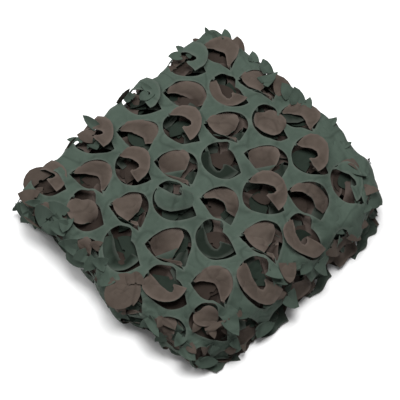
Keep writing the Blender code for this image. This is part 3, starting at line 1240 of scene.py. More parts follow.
    def dress(self, mesh: ClothMesh, green: bpy.types.Material, brown: bpy.types.Material) -> bpy.types.Object:
        """Makes the object, with its thickness, its flat places as UV map and its materials.

        Args:
            mesh: The sheet and its flaps.
            green: The material of its upper face.
            brown: The material of its other face.

        Returns:
            The finished object.
        """
        data = bpy.data.meshes.new(self.name)
        points = np.array(mesh.points)
        points[:, :2] -= PAD_MIDDLE
        points[:, 2] = np.maximum(points[:, 2], self.pattern.path.cloth / 2)
        data.from_pydata(points.tolist(), [], mesh.faces)
        write_values(data, "wear", mesh.wear)
        # The painted shade of each point, which the materials read
        write_values(data, "shade", mesh.shade)
        write_flat_map(data, np.array(mesh.flats))
        self.face_one_way(data)
        data.materials.append(green)
        data.materials.append(brown)
        net = add_object(self.name, data)
        thicken(net, self.pattern.path.cloth)
        return net

    def face_one_way(self, data: bpy.types.Mesh) -> None:
        """Turns all faces the same way over the cloth, so that the top layer's look up.

        Args:
            data: The mesh to turn.
        """
        work = bmesh.new()
        work.from_mesh(data)
        bmesh.ops.recalc_face_normals(work, faces=work.faces)
        upper = [face for face in work.faces if face.calc_center_median().z > self.high_enough]
        if sum(face.normal.z * face.calc_area() for face in upper) < 0.0:
            bmesh.ops.reverse_faces(work, faces=work.faces)
        work.to_mesh(data)
        work.free()


CRESCENT, RIBBON, STRIP, DISC, WAIST = FlapShape
AS_CUT, TWISTED, TURNED, SWUNG = FlapWay.AS_CUT, FlapWay.TWISTED, FlapWay.TURNED, FlapWay.SWUNG
DOWN, UP = CutKind.DOWN, CutKind.UP

# The flaps of the top layer and of the first fold, by kind, column and row of their figure
TOP_FLAP_ROWS = (
    # kind, column, row, shape, way, turn, near, far, roll, bow, size, kept (painted shade)
    (DOWN, -1, 0, CRESCENT, TURNED, 0, 2, 3, 0, 1), (DOWN, 0, 0, DISC, TWISTED, -12, -1, -7, 10, 2, 0.78),
    (DOWN, 1, 0, CRESCENT, AS_CUT, 0, -4, -9, 9, 0, 1, 0.5), (DOWN, 2, 0, CRESCENT, TWISTED, 10, -1, -4, 12, 3, 0.9),
    (DOWN, 3, 0, DISC, TWISTED, 20, -1, -3, 5, 3, 0.6), (DOWN, -1, 1, CRESCENT, TURNED, 0, 2, 4, 3, 2),
    (DOWN, 0, 1, CRESCENT, TURNED, -6, 2, 3.5, 4, 2.5), (DOWN, 1, 1, CRESCENT, AS_CUT, 25, 1, 3, -14, 3, 0.9),
    (DOWN, 2, 1, CRESCENT, AS_CUT, 6, -5, -10, 3, 0, 1, 0.8), (DOWN, 3, 1, CRESCENT, TWISTED, 12, 1, -2, 8, 3),
    (DOWN, -1, 2, CRESCENT, SWUNG, 0, 2, 4, 2, 2), (DOWN, 0, 2, CRESCENT, TURNED, 0, 2, 2.5, 1, 1),
    (DOWN, 1, 2, CRESCENT, AS_CUT, -5, -5, -9, 3, 0, 1, 0.8), (DOWN, 2, 2, CRESCENT, TURNED, 5, 3, 2.5, -3, 2, 1.04),
    (DOWN, 3, 2, CRESCENT, TWISTED, 0, 0, -3, 10, 2), (DOWN, -1, 3, CRESCENT, SWUNG, 0, 2, 4, 2, 2),
    (DOWN, 0, 3, CRESCENT, TWISTED, 0, -2, -3, 3, 0), (DOWN, 1, 3, DISC, TWISTED, 10, -2, -3, 2, 1, 0.92),
    (DOWN, 2, 3, CRESCENT, TURNED, -4, 2, 4.5, 3, 1), (DOWN, 3, 3, CRESCENT, SWUNG, 0, 2, 3, 0, 1),
    (UP, 0, 0, RIBBON, TWISTED, 0, -2, -2, 4, -3), (UP, 1, 0, WAIST, TWISTED, 0, 2, 0, -7, -1),
    (UP, 2, 0, WAIST, TWISTED, 0, -5, -6, 8, -1), (UP, 3, 0, RIBBON, TWISTED, 0, -1, -2, 4, -2),
    (UP, 0, 1, STRIP, TWISTED, 0, -1, -3, 4, -2), (UP, 1, 1, WAIST, TWISTED, 0, -5.5, -6, 10, 0),
    (UP, 2, 1, STRIP, TWISTED, 0, 2, -4, -8, -1), (UP, 3, 1, WAIST, TWISTED, 0, 1.5, 0, -6, -2),
    (UP, 0, 2, STRIP, TWISTED, 0, -5, -9, 8, 1), (UP, 1, 2, WAIST, TWISTED, 0, 2, 0, -7, -2),
    (UP, 2, 2, WAIST, TWISTED, 0, -5, -7, 8, -1), (UP, 3, 2, STRIP, TWISTED, 0, 2, -6, -8, 0),
    (UP, 0, 3, RIBBON, TWISTED, 0, 0, 0, 4, 1), (UP, 1, 3, WAIST, TWISTED, 0, 1.5, 1, -6, -2),
    (UP, 2, 3, RIBBON, TWISTED, 0, -1, 0, 4, 1),
)
TOP_FLAPS = {(kind, column, row): FlapRow(*values) for kind, column, row, *values in TOP_FLAP_ROWS}

# Figures of the top layer that stand off the even rows, as shifts along X and v (mm)
NUDGES = {(UP, column, 3): (-22, 0) for column in (-1, 0, 1, 2)} | {(DOWN, 3, 3): (-14, 14)}
# Figures that the even rows would have there, and the net doesn't
SKIPPED = {(UP, 3, 3), (UP, 4, 3)}


def is_inside(place: tuple[float, float], loop: Sequence[tuple[float, float]]) -> bool:
    """Tells whether a flat place lies inside a closed loop of flat places.

    Args:
        place: The flat place.
        loop: The loop's places in order.

    Returns:
        True inside.
    """
    crossed = False
    for start, end in zip(loop, [*loop[1:], loop[0]]):
        if (start[1] > place[1]) != (end[1] > place[1]):
            at = start[0] + (place[1] - start[1]) / (end[1] - start[1]) * (end[0] - start[0])
            if place[0] < at:
                crossed = not crossed
    return crossed


def flap_places(row: FlapRow, along: int, across: int) -> np.ndarray:
    """Gives the flat places of a flap's points round its figure's middle.

    Args:
        row: How it lies.
        along: Number of points along it.
        across: Number of points across it.

    Returns:
        An array of along by across places.
    """
    table = {
        FlapShape.CRESCENT: TURNED_ROWS,
        FlapShape.RIBBON: RIBBON_ROWS,
        FlapShape.STRIP: RIBBON_ROWS[:8],
        FlapShape.WAIST: WAIST_ROWS,
        FlapShape.DISC: DISC_ROWS,
    }[row.shape]
    at = np.linspace(0.0, len(table) - 1.0, along)
    inner_angle, inner, outer_angle, outer = (
        np.interp(at, range(len(table)), [float(entry[column]) for entry in table]) for column in range(4)
    )
    side = np.linspace(0.0, 1.0, across)[None, :, None]
    places = polar(inner_angle, inner)[:, None, :] * (1.0 - side) + polar(outer_angle, outer)[:, None, :] * side
    if row.shape in (FlapShape.CRESCENT, FlapShape.DISC) and row.way in (FlapWay.AS_CUT, FlapWay.TWISTED):
        places[:, :, 1] = -MM - places[:, :, 1]
    neck = places[0].mean(axis=0)
    turn = math.radians(row.turn)
    spin = np.array([[math.cos(turn), math.sin(turn)], [-math.sin(turn), math.cos(turn)]])
    return neck + (places - neck) @ spin * row.size


def flap_row(figure: Figure) -> FlapRow:
    """Gives the flap of one figure: the table's, or one that is picked by the figure's own seed.

    Args:
        figure: The figure that it was cut from.

    Returns:
        How it lies.
    """
    if figure.key() in TOP_FLAPS:
        return TOP_FLAPS[figure.key()]
    rng = np.random.default_rng(1000 + 10 * figure.column + 97 * (figure.row + 60) + (figure.kind is CutKind.UP))
    pick, turn, near, far, roll, bow = rng.uniform(0.0, 1.0, 6)
    if figure.kind is CutKind.UP:
        shape = FlapShape.WAIST if pick < 0.6 else FlapShape.STRIP
        way = FlapWay.TWISTED if pick < 0.75 else FlapWay.AS_CUT
        return FlapRow(shape, way, 0.0, -1.0, -1.0 - 3.0 * far, 8.0 * roll - 4.0, -3.0 * bow)
    shape = FlapShape.CRESCENT if pick < 0.7 else FlapShape.DISC
    way = FlapWay.TWISTED if turn < 0.6 else FlapWay.AS_CUT
    return FlapRow(shape, way, 16.0 * turn - 8.0, -1.0, 4.0 - 8.0 * near, 10.0 * roll - 5.0, 2.0 * bow)


def thicken(piece: bpy.types.Object, cloth: float) -> None:
    """Gives a sheet its thickness, with the brown material on its back, and keeps it from sinking into the floor.

    Args:
        piece: The sheet, which keeps the result as its mesh.
        cloth: Its thickness.
    """
    solid = piece.modifiers.new("cloth", "SOLIDIFY")
    solid.thickness = cloth
    solid.offset = 0.0
    solid.use_rim = True
    solid.material_offset = 1
    solid.material_offset_rim = 0
    thick = keep_modifier(piece, solid)
    places = np.zeros(3 * len(thick.vertices))
    thick.vertices.foreach_get("co", places)
    places[2::3] = np.maximum(places[2::3], 0.0)
    thick.vertices.foreach_set("co", places)
    for face in thick.polygons:
        face.use_smooth = True
    thick.set_sharp_from_angle(angle=math.radians(SHARP_ANGLE))


# Leaves that stand out along the pad's edges: x, v (mm), the way they point (degrees from +X on the flat cloth), how
# far their tips are raised (degrees), lift (mm), length and width as shares, and 1 where the brown face is outside
EDGE_LEAVES = (
    (-166, 168, 165, 25, 0, 0.73, 0.5, 0), (-168, 148, 192, -10, -5, 0.95, 0.85, 1),
    (-170, 156, 183, 20, -4, 0.75, 0.5, 1), (-172, 130, 174, 25, 0, 0.82, 0.5, 0),
    (-164, 120, 240, 12, 2.5, 0.83, 0.85, 0), (-164, 102, 210, -15, -5, 0.82, 0.85, 1),
    (-152, 46, 183, 30, 1, 0.95, 0.5, 0), (-148, 42, 285, 12, 3, 0.92, 0.85, 0),
    (-158, 32, 213, -12, -5, 1.1, 0.85, 1), (-160, -8, 210, -10, -4, 0.65, 0.85, 1),
    (-162, -42, 183, 35, 0, 1.1, 0.5, 0), (-162, -28, 210, 0, -3, 0.62, 0.85, 1),
    (-154, -54, 207, 10, 2, 1.1, 0.85, 1), (-150, -62, 330, 8, -3, 0.92, 0.85, 0),
    (-168, -78, 225, 5, -2, 0.76, 0.85, 1), (-170, -68, 222, 20, 0, 0.66, 0.5, 0),
    (-164, -106, 255, 5, -3, 0.89, 0.85, 1), (-146, -162, 234, 5, -2, 0.8, 0.85, 1),
    (-134, -180, 219, 25, 0, 0.88, 0.5, 0), (-114, -194, 201, 0, -4, 0.9, 0.85, 0),
    (-96, -172, 180, 6, 3, 1.2, 0.85, 0), (-90, -170, 309, 8, 3, 1.1, 0.85, 0),
    (-82, -180, 219, 8, 3, 1.2, 0.85, 0), (-52, -186, 201, 5, 2, 1.1, 0.85, 0),
    (-32, -184, 234, 5, 1, 1.1, 0.85, 0), (-20, -178, 276, 0, -2, 0.98, 0.85, 0),
    (-26, -162, 207, 12, 2, 0.78, 0.85, 1), (-4, -170, 213, 14, 2, 0.86, 0.85, 0),
    (10, -174, 270, 6, 1, 0.93, 0.85, 0), (2, -184, 243, 5, -2, 0.96, 0.85, 1),
    (34, -168, 264, 10, 3, 1.1, 0.85, 1), (36, -162, 162, 8, 4, 0.63, 0.85, 1),
    (48, -204, 213, 0, -2, 0.8, 0.85, 0), (84, -198, 240, 5, 0, 0.87, 0.85, 0),
    (92, -176, 288, 8, 2, 0.72, 0.85, 1), (110, -198, 264, 5, -1, 0.69, 0.85, 0),
    (130, -178, 258, 10, 2, 0.8, 0.85, 0), (146, -186, 339, 12, 3, 0.73, 0.85, 1),
    (180, -192, 3, 5, 0, 0.6, 0.85, 0), (132, -152, 267, 12, 3, 0.6, 0.85, 1),
    (150, -148, 327, 15, 3, 0.58, 0.85, 1), (152, -126, 6, 10, 3, 0.61, 0.85, 1),
    (174, -158, 303, 12, 3, 0.65, 0.85, 0), (176, -132, 6, 10, 2, 0.71, 0.85, 0),
    (154, -104, 6, 12, 2, 0.65, 0.85, 1), (188, -76, 18, 8, 0, 0.95, 0.85, 1), (166, -46, 72, 14, 3, 0.76, 0.85, 1),
    (178, -32, 12, 8, 2, 1.2, 0.85, 0), (140, -36, 15, 8, 3, 1, 0.85, 0), (192, -116, 336, 8, 0, 0.62, 0.85, 1),
    (164, -2, 60, 10, 2, 0.89, 0.85, 0), (176, 26, 3, 15, 2, 1, 0.85, 0), (172, 52, 27, 14, 2, 1.2, 0.85, 1),
    (168, 70, 291, 16, 3, 0.72, 0.85, 0), (178, 94, 33, 14, 2, 1.1, 0.85, 1), (178, 116, 48, 16, 2, 0.82, 0.85, 1),
    (164, 130, 63, 18, 2, 0.74, 0.85, 0), (166, 160, 39, 15, 1, 1, 1, 0), (148, 158, 60, 15, 0, 0.91, 1, 1),
    (122, 160, 18, 14, 1, 0.83, 1, 0), (104, 166, 342, 16, 1, 0.95, 1, 1), (84, 174, 87, 12, 0, 0.64, 1, 0),
    (48, 178, 90, 10, 0, 0.7, 0.9, 0), (56, 164, 66, 10, -3, 0.53, 0.85, 1), (8, 180, 105, 25, 0, 0.69, 0.9, 0),
    (-4, 176, 156, 30, 1, 1.1, 0.9, 0), (-26, 176, 177, 30, 1, 1.4, 0.9, 1), (-18, 176, 180, 20, 0, 1.1, 0.9, 0),
    (-66, 182, 159, 25, 0, 1.1, 0.9, 0), (-92, 186, 144, 20, 0, 0.75, 0.9, 0), (-122, 184, 153, 25, 0, 1.2, 0.9, 1),
    (-114, 170, 111, 10, -3, 0.8, 0.85, 1), (-148, 182, 159, 20, 0, 0.7, 0.9, 0),
    (-156, 170, 159, 20, -1, 0.63, 0.5, 0), (-62, 160, 354, 0, -6, 0.9, 0.85, 1),
    (-76, 152, 66, 0, -7, 0.97, 0.85, 1), (-124, 182, 324, 0, -6, 1.1, 1, 1), (78, 170, 333, 0, -4, 0.93, 0.85, 1),
    (66, 150, 114, 4, -5, 0.76, 0.85, 1), (-146, -180, 204, 10, -2, 1.1, 0.7, 1), (-160, -204, 0, 8, 2, 1.2, 0.4, 0),
    (-172, -212, 262, 0, 1, 1, 0.8, 0), (-160, -222, 290, 4, 2, 1.3, 0.9, 0),
    (-165, -224, 270, 10, 3, 1.1, 0.9, 0), (-150, -226, 275, 12, 3, 1, 0.9, 0), (-178, -232, 240, 4, 0, 0.5, 0.8, 0),
    (152, -120, 345, 6, 3, 1.1, 0.9, 0), (148, -156, 63, 6, 4, 1.4, 0.3, 1),
    (190, -146, 120, 12, 3, 0.73, 0.7, 1), (168, -172, 339, 6, 3, 0.9, 0.7, 1), (140, -190, 336, 5, 2, 1.13, 0.8, 0),
    (88, -180, 12, 3, 2, 1.2, 0.4, 1), (76, -192, 339, 12, 3, 1.3, 0.35, 0), (192, 46, 66, 10, -3, 0.9, 0.8, 1),
    (192, -90, 75, 6, 1, 1.39, 0.7, 0), (184, -192, 45, 5, 1, 1.4, 0.6, 0), (-56, 162, 81, 8, 0, 1.33, 0.7, 0),
    (-142, -178, 210, 12, 2, 1.3, 0.9, 1), (-122, -212, 132, 8, 1, 1.4, 0.6, 0), (-134, -200, 243, 6, 1, 1.38, 0.7, 0),
    (-174, 10, 57, 4, 0, 1.13, 0.9, 0), (-162, 22, 180, 4, -1, 0.94, 0.9, 0), (-176, -82, 63, 4, 0, 0.89, 0.9, 0),
)

# Round leaves that lie over the cuts or just inside them, in the same columns
ROUND_LEAVES = (
    (33, -177, 268, 2, 3, 1.02, 1, 1), (33, -177, 84, 3, 2.4, 0.98, 1, 1), (40, -160, 120, 6, 4, 0.6, 0.8, 1),
    (150, -12, 327, 4, 2, 1.1, 0.5, 1), (-123, 172, 90, -25, -8, 1.3, 1, 1), (-57, 168, 90, -25, -8, 1.3, 1, 1),
    (-63, 184, 90, -45, -3, 0.8, 1, 1), (-160, 124, 180, -5, -4, 1, 1, 1),
    (23, 172, 90, -25, -8, 1.2, 1, 0), (-160, -152, 180, 0, -4, 1, 1, 1), (-152, -76, 180, -22, -8, 1.2, 1, 0),
    (-112, -190, 150, 4, 3, 1.05, 0.8, 0), (-110, -188, 330, 2, 2, 0.9, 0.8, 0), (-40, -192, 230, 4, 2, 1, 0.7, 0),
)


@dataclass(frozen=True)
class LeafPlace:
    """One loose leaf: where its root is on the flat cloth, how it lies there, and its size.

    Attributes:
        x: Flat place along the folds.
        v: Flat place along the cloth.
        turn: The way it points, in degrees from +X on the flat cloth.
        pitch: How far its tip is raised, in degrees.
        lift: How far its root stands off the cloth, in metres.
        length: Its length as a share of the full leaf.
        width: Its width as a share of its length.
        brown: Whether its brown face looks the way of the cloth's green face.
        tilt: How far it is rolled about its own length, in degrees.
        shade: How much painted shade it gets, from 0 for none to 1.
    """

    x: float
    v: float
    turn: float
    pitch: float
    lift: float
    length: float
    width: float = 1.0
    brown: bool = False
    tilt: float = 0.0
    shade: float = 0.0

    def lean(self) -> Matrix:
        """Gives its own turns as a matrix.

        Returns:
            The matrix.
        """
        roll = math.radians(180.0 * self.brown + self.tilt)
        pitch = math.radians(-self.pitch if self.brown else self.pitch)
        return Euler((pitch, roll, math.radians(self.turn - 90.0)), "XYZ").to_matrix()


@dataclass
class LooseLeaves:
    """Leaves of the inner layers, set out on points by one node tree.

    Attributes:
        name: The piece's name.
        radius: Radius of the full leaf.
        inner: Its inner radius, as a share.
        bend: How far it is bent, as a share of its radius.
        point: How pointed its tip is, from 0 for a round one.
        seed: Fixes the small changes of size.
        path: The folded path that they lie on.
        grid: Number of points along and across a leaf.
        opened: How far round it goes, as a share of half a turn.
        slant: How far its bend runs askew.
        sizes: The least and the greatest change of size.
        map_lean: How far the weave's map leans with the leaves' height.
    """

    name: str
    path: FoldedPath
    radius: float = 0.025
    inner: float = 0.12
    bend: float = 0.30
    point: float = 0.15
    seed: int = 4
    grid: tuple[int, int] = (11, 3)
    opened: float = 1.02
    slant: float = 0.6
    sizes: tuple[float, float] = (0.88, 1.1)
    map_lean: float = 0.3

    def tree(self) -> bpy.types.NodeTree:
        """Builds the node tree that makes one leaf and sets it out on every point.

        Returns:
            The tree, with named inputs for the leaf's sizes.
        """
        tree = bpy.data.node_groups.new(self.name, "GeometryNodeTree")
        face = tree.interface
        face.new_socket("Points", in_out="INPUT", socket_type="NodeSocketGeometry")
        for title in ("Leaf radius", "Inner share", "Bend", "Point"):
            face.new_socket(title, in_out="INPUT", socket_type="NodeSocketFloat")
        face.new_socket("Seed", in_out="INPUT", socket_type="NodeSocketInt")
        face.new_socket("Cloth", in_out="INPUT", socket_type="NodeSocketMaterial")
        face.new_socket("Leaves", in_out="OUTPUT", socket_type="NodeSocketGeometry")
        node = tree.nodes.new
        link = tree.links.new
        given = node("NodeGroupInput").outputs
        out = node("NodeGroupOutput")

        calc = partial(math_node, tree)
        grid = node("GeometryNodeMeshGrid")
        grid.inputs["Vertices X"].default_value, grid.inputs["Vertices Y"].default_value = self.grid
        split = node("ShaderNodeSeparateXYZ")
        link(node("GeometryNodeInputPosition").outputs[0], split.inputs[0])
        angle = calc("MULTIPLY", calc("SUBTRACT", 0.5, split.outputs["X"]), math.pi * self.opened)
        outward = calc("ADD", split.outputs["Y"], 0.5)
        spread = calc("SUBTRACT", 1.0, given["Inner share"])
        ring = calc("ADD", given["Inner share"], calc("MULTIPLY", outward, spread))
        beside = calc("MULTIPLY", calc("ABSOLUTE", calc("COSINE", angle)), given["Point"])
        reach = calc("DIVIDE", ring, calc("ADD", beside, 1.0))
        along = calc("MULTIPLY", calc("COSINE", angle), reach)
        across = calc("MULTIPLY", calc("SINE", angle), reach)
        skew = calc("ADD", along, calc("MULTIPLY", across, self.slant))
        rise = calc("MULTIPLY", calc("MULTIPLY", skew, skew), given["Bend"])
        join = node("ShaderNodeCombineXYZ")
        for socket, value in zip(join.inputs, (along, across, rise)):
            link(calc("MULTIPLY", value, given["Leaf radius"]), socket)
        shape = node("GeometryNodeSetPosition")
        link(grid.outputs["Mesh"], shape.inputs["Geometry"])
        link(join.outputs[0], shape.inputs["Position"])

        def stored(name: str) -> bpy.types.NodeSocket:
            """Reads one of the points' own vectors.

            Args:
                name: The attribute's name.

            Returns:
                Its values.
            """
            read = node("GeometryNodeInputNamedAttribute")
            read.data_type = "FLOAT_VECTOR"
            read.inputs["Name"].default_value = name
            return read.outputs["Attribute"]

        turn = node("FunctionNodeEulerToRotation")
        link(stored("lean"), turn.inputs[0])
        grow = stored("grow")
        vary = node("FunctionNodeRandomValue")
        vary.data_type = "FLOAT"
        vary.inputs[2].default_value, vary.inputs[3].default_value = self.sizes
        link(given["Seed"], vary.inputs["Seed"])
        place = node("GeometryNodeInstanceOnPoints")
        link(given["Points"], place.inputs["Points"])
        link(shape.outputs["Geometry"], place.inputs["Instance"])
        link(turn.outputs[0], place.inputs["Rotation"])
        size = node("ShaderNodeVectorMath")
        size.operation = "SCALE"
        link(grow, size.inputs[0])
        link(vary.outputs[1], size.inputs["Scale"])
        link(size.outputs[0], place.inputs["Scale"])
        real = node("GeometryNodeRealizeInstances")
        link(place.outputs["Instances"], real.inputs["Geometry"])
        above = node("GeometryNodeSetPosition")
        link(real.outputs["Geometry"], above.inputs["Geometry"])
        placed = node("ShaderNodeSeparateXYZ")
        link(node("GeometryNodeInputPosition").outputs[0], placed.inputs[0])
        kept = node("ShaderNodeCombineXYZ")
        height = calc("MAXIMUM", placed.outputs["Z"], self.path.cloth)
        for socket, value in zip(kept.inputs, (placed.outputs["X"], placed.outputs["Y"], height)):
            link(value, socket)
        link(kept.outputs[0], above.inputs["Position"])
        cloth = node("GeometryNodeSetMaterial")
        link(above.outputs["Geometry"], cloth.inputs["Geometry"])
        link(given["Cloth"], cloth.inputs["Material"])
        link(cloth.outputs["Geometry"], out.inputs["Leaves"])
        return tree

    def build(
        self, places: Sequence[LeafPlace], green: bpy.types.Material, brown: bpy.types.Material
    ) -> bpy.types.Object:
        """Builds the leaves as one piece.

        Args:
            places: Where each leaf lies.
            green: The material of a leaf's upper face.
            brown: The material of its back.

        Returns:
            The finished object.
        """
        x = np.array([place.x for place in places])
        v = np.array([place.v for place in places])
        points = self.path.lifted(x, v, np.array([place.lift for place in places]))
        points[:, :2] -= PAD_MIDDLE
        sideways, normal = self.path.frame(x, v)
        data = bpy.data.meshes.new(self.name)
        data.from_pydata(points.tolist(), [], [])
        turns, sizes = [], []
        for index, place in enumerate(places):
            first = Vector(sideways[index])
            third = Vector(normal[index])
            second = third.cross(first)
            axes = Matrix((first, second, third)).transposed()
            turns.extend((axes @ place.lean()).to_euler("XYZ"))
            sizes.extend((place.width * place.length, place.length, place.length))
        data.attributes.new("lean", "FLOAT_VECTOR", "POINT").data.foreach_set("vector", turns)
        data.attributes.new("grow", "FLOAT_VECTOR", "POINT").data.foreach_set("vector", sizes)
        # The painted shade of each leaf, which the materials read
        write_values(data, "shade", [place.shade for place in places])
        piece = add_object(self.name, data)
        tree = self.tree()
        nodes = piece.modifiers.new("leaves", "NODES")
        nodes.node_group = tree
        values = {
            "Leaf radius": self.radius,
            "Inner share": self.inner,
            "Bend": self.bend,
            "Point": self.point,
            "Seed": self.seed,
            "Cloth": green,
        }
        for item in tree.interface.items_tree:
            if item.in_out == "INPUT" and item.name in values:
                nodes[item.identifier] = values[item.name]
        made = keep_modifier(piece, nodes)
        made.materials.append(brown)
        self.finish(made)
        thicken(piece, self.path.cloth)
        return piece

    def finish(self, made: bpy.types.Mesh) -> None:
        """Gives the leaves a flat map for their weave, and edges without wear.

        Args:
            made: The leaves' mesh.
        """
        count = len(made.vertices)
        places = np.zeros(count * 3)
        made.vertices.foreach_get("co", places)
        places = places.reshape(-1, 3)
        slant = self.map_lean * places[:, 2]
        write_flat_map(made, np.stack([places[:, 0] + slant, places[:, 1] - slant], 1))
        write_values(made, "wear", np.zeros(count))


@dataclass(frozen=True)
class InnerLeafPlan:
    """Where the loose leaves lie: under the cuts of the top layer, and along the pad's cut sides and folds.

    Attributes:
        sheet: The sheet that they belong to.
        last_v: v of the last cut that leaves are set under.
        depths: How deep the leaves of one cut lie.
        offset: How far back their roots lie from the cut's middle.
        wander: How far their roots stray from there.
        browns: Share of them with their brown face up.
        side_x: Where the leaves of the cut sides have their roots, each way along X.
        side_gap: Least and greatest distance between two of them.
        side_margin: Length of cloth without them at each end of a layer.
        fold_x: From where to where along X the leaves of the folds go.
        fold_gap: Least and greatest distance between two of them.
        fold_shares: Where they lie round their fold, as shares of its length.
        fold_browns: Share of them with their brown face outside.
        lowest_fold: The lowest fold that has them, by its upper layer.
        tucked_shade: How much painted shade a leaf of a table gets, if it lies under the cloth.
    """

    sheet: NetSheet
    last_v: float = -0.185
    depths: tuple[float, ...] = (0.0100, 0.0125, 0.0150)
    offset: float = 0.010
    wander: float = 0.008
    browns: float = 0.62
    side_x: tuple[float, float] = (0.152, 0.166)
    side_gap: tuple[float, float] = (0.022, 0.040)
    side_margin: float = 0.025
    fold_x: tuple[float, float] = (-0.150, 0.145)
    fold_gap: tuple[float, float] = (0.030, 0.055)
    fold_shares: tuple[float, float] = (0.25, 0.6)
    fold_browns: float = 0.3
    lowest_fold: int = 4
    tucked_shade: float = 0.3

    def under_cuts(self) -> list[LeafPlace]:
        """Lists the leaves that show through the cuts of the top layer and the first fold.

        Returns:
            The leaves.
        """
        rng = np.random.default_rng(77)
        places = []
        for figure in self.sheet.pattern.figures():
            if figure.v < self.last_v:
                continue
            for depth in self.depths:
                turn = rng.uniform(0.0, 360.0)
                x = figure.x - self.offset * math.cos(math.radians(turn)) + rng.uniform(-self.wander, self.wander)
                v = figure.v - self.offset * math.sin(math.radians(turn)) + rng.uniform(-self.wander, self.wander)
                brown = rng.uniform() < self.browns
                pitch, tilt, length, width = rng.uniform((-6.0, -5.0, 0.8, 0.6), (0.0, 5.0, 1.15, 1.0))
                # Painted shade, the more the deeper the leaf lies
                shade = 0.55 + 0.45 * depth / self.depths[-1]
                places.append(LeafPlace(x, v, turn, pitch, -depth, length, width, brown, tilt, shade))
        return places

    def along_sides(self) -> list[LeafPlace]:
        """Lists the leaves that hang out between the layers along the cut sides.

        Returns:
            The leaves.
        """
        rng = np.random.default_rng(78)
        path = self.sheet.pattern.path
        places = []
        for stretch in path.stretches():
            if stretch.is_fold or stretch.layer == 0:
                continue
            for side in (-1.0, 1.0):
                at = stretch.start + self.side_margin + rng.uniform(0.0, 0.02)
                while at < stretch.start + stretch.length - self.side_margin:
                    x = side * rng.uniform(*self.side_x)
                    places.append(self.leaf(rng, x, path.first_v() - at, 90.0 - 90.0 * side))
                    at += rng.uniform(*self.side_gap)
        return places

    def along_folds(self) -> list[LeafPlace]:
        """Lists the leaves that lie on the folds.

        Returns:
            The leaves.
        """
        rng = np.random.default_rng(79)
        path = self.sheet.pattern.path
        places = []
        for stretch in path.stretches()[2:]:
            if not stretch.is_fold or stretch.layer < self.lowest_fold:
                continue
            at = self.fold_x[0] + rng.uniform(0.0, 0.03)
            while at < self.fold_x[1]:
                v = path.first_v() - stretch.start - stretch.length * rng.uniform(*self.fold_shares)
                places.append(self.leaf(rng, at, v, rng.uniform(0.0, 360.0), self.fold_browns))
                at += rng.uniform(*self.fold_gap)
        return places

    def from_table(self, rows: Sequence[tuple[float, ...]]) -> list[LeafPlace]:
        """Lists the leaves of a table.

        Args:
            rows: The table's rows.

        Returns:
            The leaves.
        """
        # Leaves of a table that lie under the cloth get painted shade
        tucked = self.tucked_shade
        return [
            LeafPlace(x * MM, v * MM, turn, pitch, lift * MM, length, width, bool(brown), 0.0, tucked * (lift < 0))
            for x, v, turn, pitch, lift, length, width, brown in rows
        ]

    def leaf(self, rng: np.random.Generator, x: float, v: float, turn: float, browns: float = 0.55) -> LeafPlace:
        """Gives one leaf that points about one way.

        Args:
            rng: The source of its random values.
            x: Flat place of its root along the folds.
            v: Flat place of its root along the cloth.
            turn: About the way that it points, in degrees.
            browns: Share of such leaves with their brown face outside.

        Returns:
            The leaf.
        """
        brown = rng.uniform() < browns
        # Each leaf gets a random amount of painted shade, up to half
        spin, pitch, tilt, lift, length, width, shade = rng.uniform(
            (-45.0, -6.0, -12.0, -0.004, 0.45, 0.6, 0.0), (45.0, 8.0, 12.0, 0.001, 0.70, 1.0, 0.5)
        )
        return LeafPlace(x, v, turn + spin, pitch, lift, length, width, brown, tilt, shade)


class ShaderGroup:
    """A shader node group under construction, with short ways to add its sockets and nodes."""

    def __init__(self, name: str, inputs: dict[str, float | None], output: str) -> None:
        """Starts a group with a vector input, float inputs with their defaults, and one float output.

        Args:
            name: The group's name.
            inputs: Its float inputs with their defaults.
            output: The name of its output.
        """
        self.tree = bpy.data.node_groups.new(name, "ShaderNodeTree")
        self.tree.interface.new_socket("Vector", in_out="INPUT", socket_type="NodeSocketVector")
        for title, value in inputs.items():
            socket = self.tree.interface.new_socket(title, in_out="INPUT", socket_type="NodeSocketFloat")
            if value is not None:
                socket.default_value = value
        self.tree.interface.new_socket(output, in_out="OUTPUT", socket_type="NodeSocketFloat")
        self.given = self.tree.nodes.new("NodeGroupInput").outputs
        self.out = self.tree.nodes.new("NodeGroupOutput").inputs[0]

    def math(self, operation: str, first: object, second: object = None) -> bpy.types.NodeSocket:
        """Adds a Math node on sockets or numbers and returns its result."""
        return math_node(self.tree, operation, first, second)

    def noise(self, scale: object, detail: float, roughness: float = 0.5) -> bpy.types.NodeSocket:
        """Adds a Noise Texture on the group's vector and returns its factor.

        Args:
            scale: Its scale, as a socket or a number.
            detail: Its detail.
            roughness: Its roughness.

        Returns:
            Its factor.
        """
        node = self.tree.nodes.new("ShaderNodeTexNoise")
        node.inputs["Detail"].default_value = detail
        node.inputs["Roughness"].default_value = roughness
        self.tree.links.new(self.given["Vector"], node.inputs["Vector"])
        if isinstance(scale, bpy.types.NodeSocket):
            self.tree.links.new(scale, node.inputs["Scale"])
        else:
            node.inputs["Scale"].default_value = scale
        return node.outputs["Fac"]

    def finish(self, value: bpy.types.NodeSocket) -> bpy.types.NodeTree:
        """Links the group's output and returns the group."""
        self.tree.links.new(value, self.out)
        return self.tree


def weave_group() -> bpy.types.NodeTree:
    """Builds the plain weave: the height of crossing threads of a given pitch.

    Returns:
        The group.
    """
    group = ShaderGroup("plain_weave", {"Pitch": 0.0006}, "Height")
    split = group.tree.nodes.new("ShaderNodeSeparateXYZ")
    group.tree.links.new(group.given["Vector"], split.inputs[0])
    rate = group.math("DIVIDE", 2.0 * math.pi, group.given["Pitch"])
    warp = group.math("SINE", group.math("MULTIPLY", split.outputs["X"], rate))
    weft = group.math("SINE", group.math("MULTIPLY", split.outputs["Y"], rate))
    return group.finish(group.math("MULTIPLY", warp, weft))


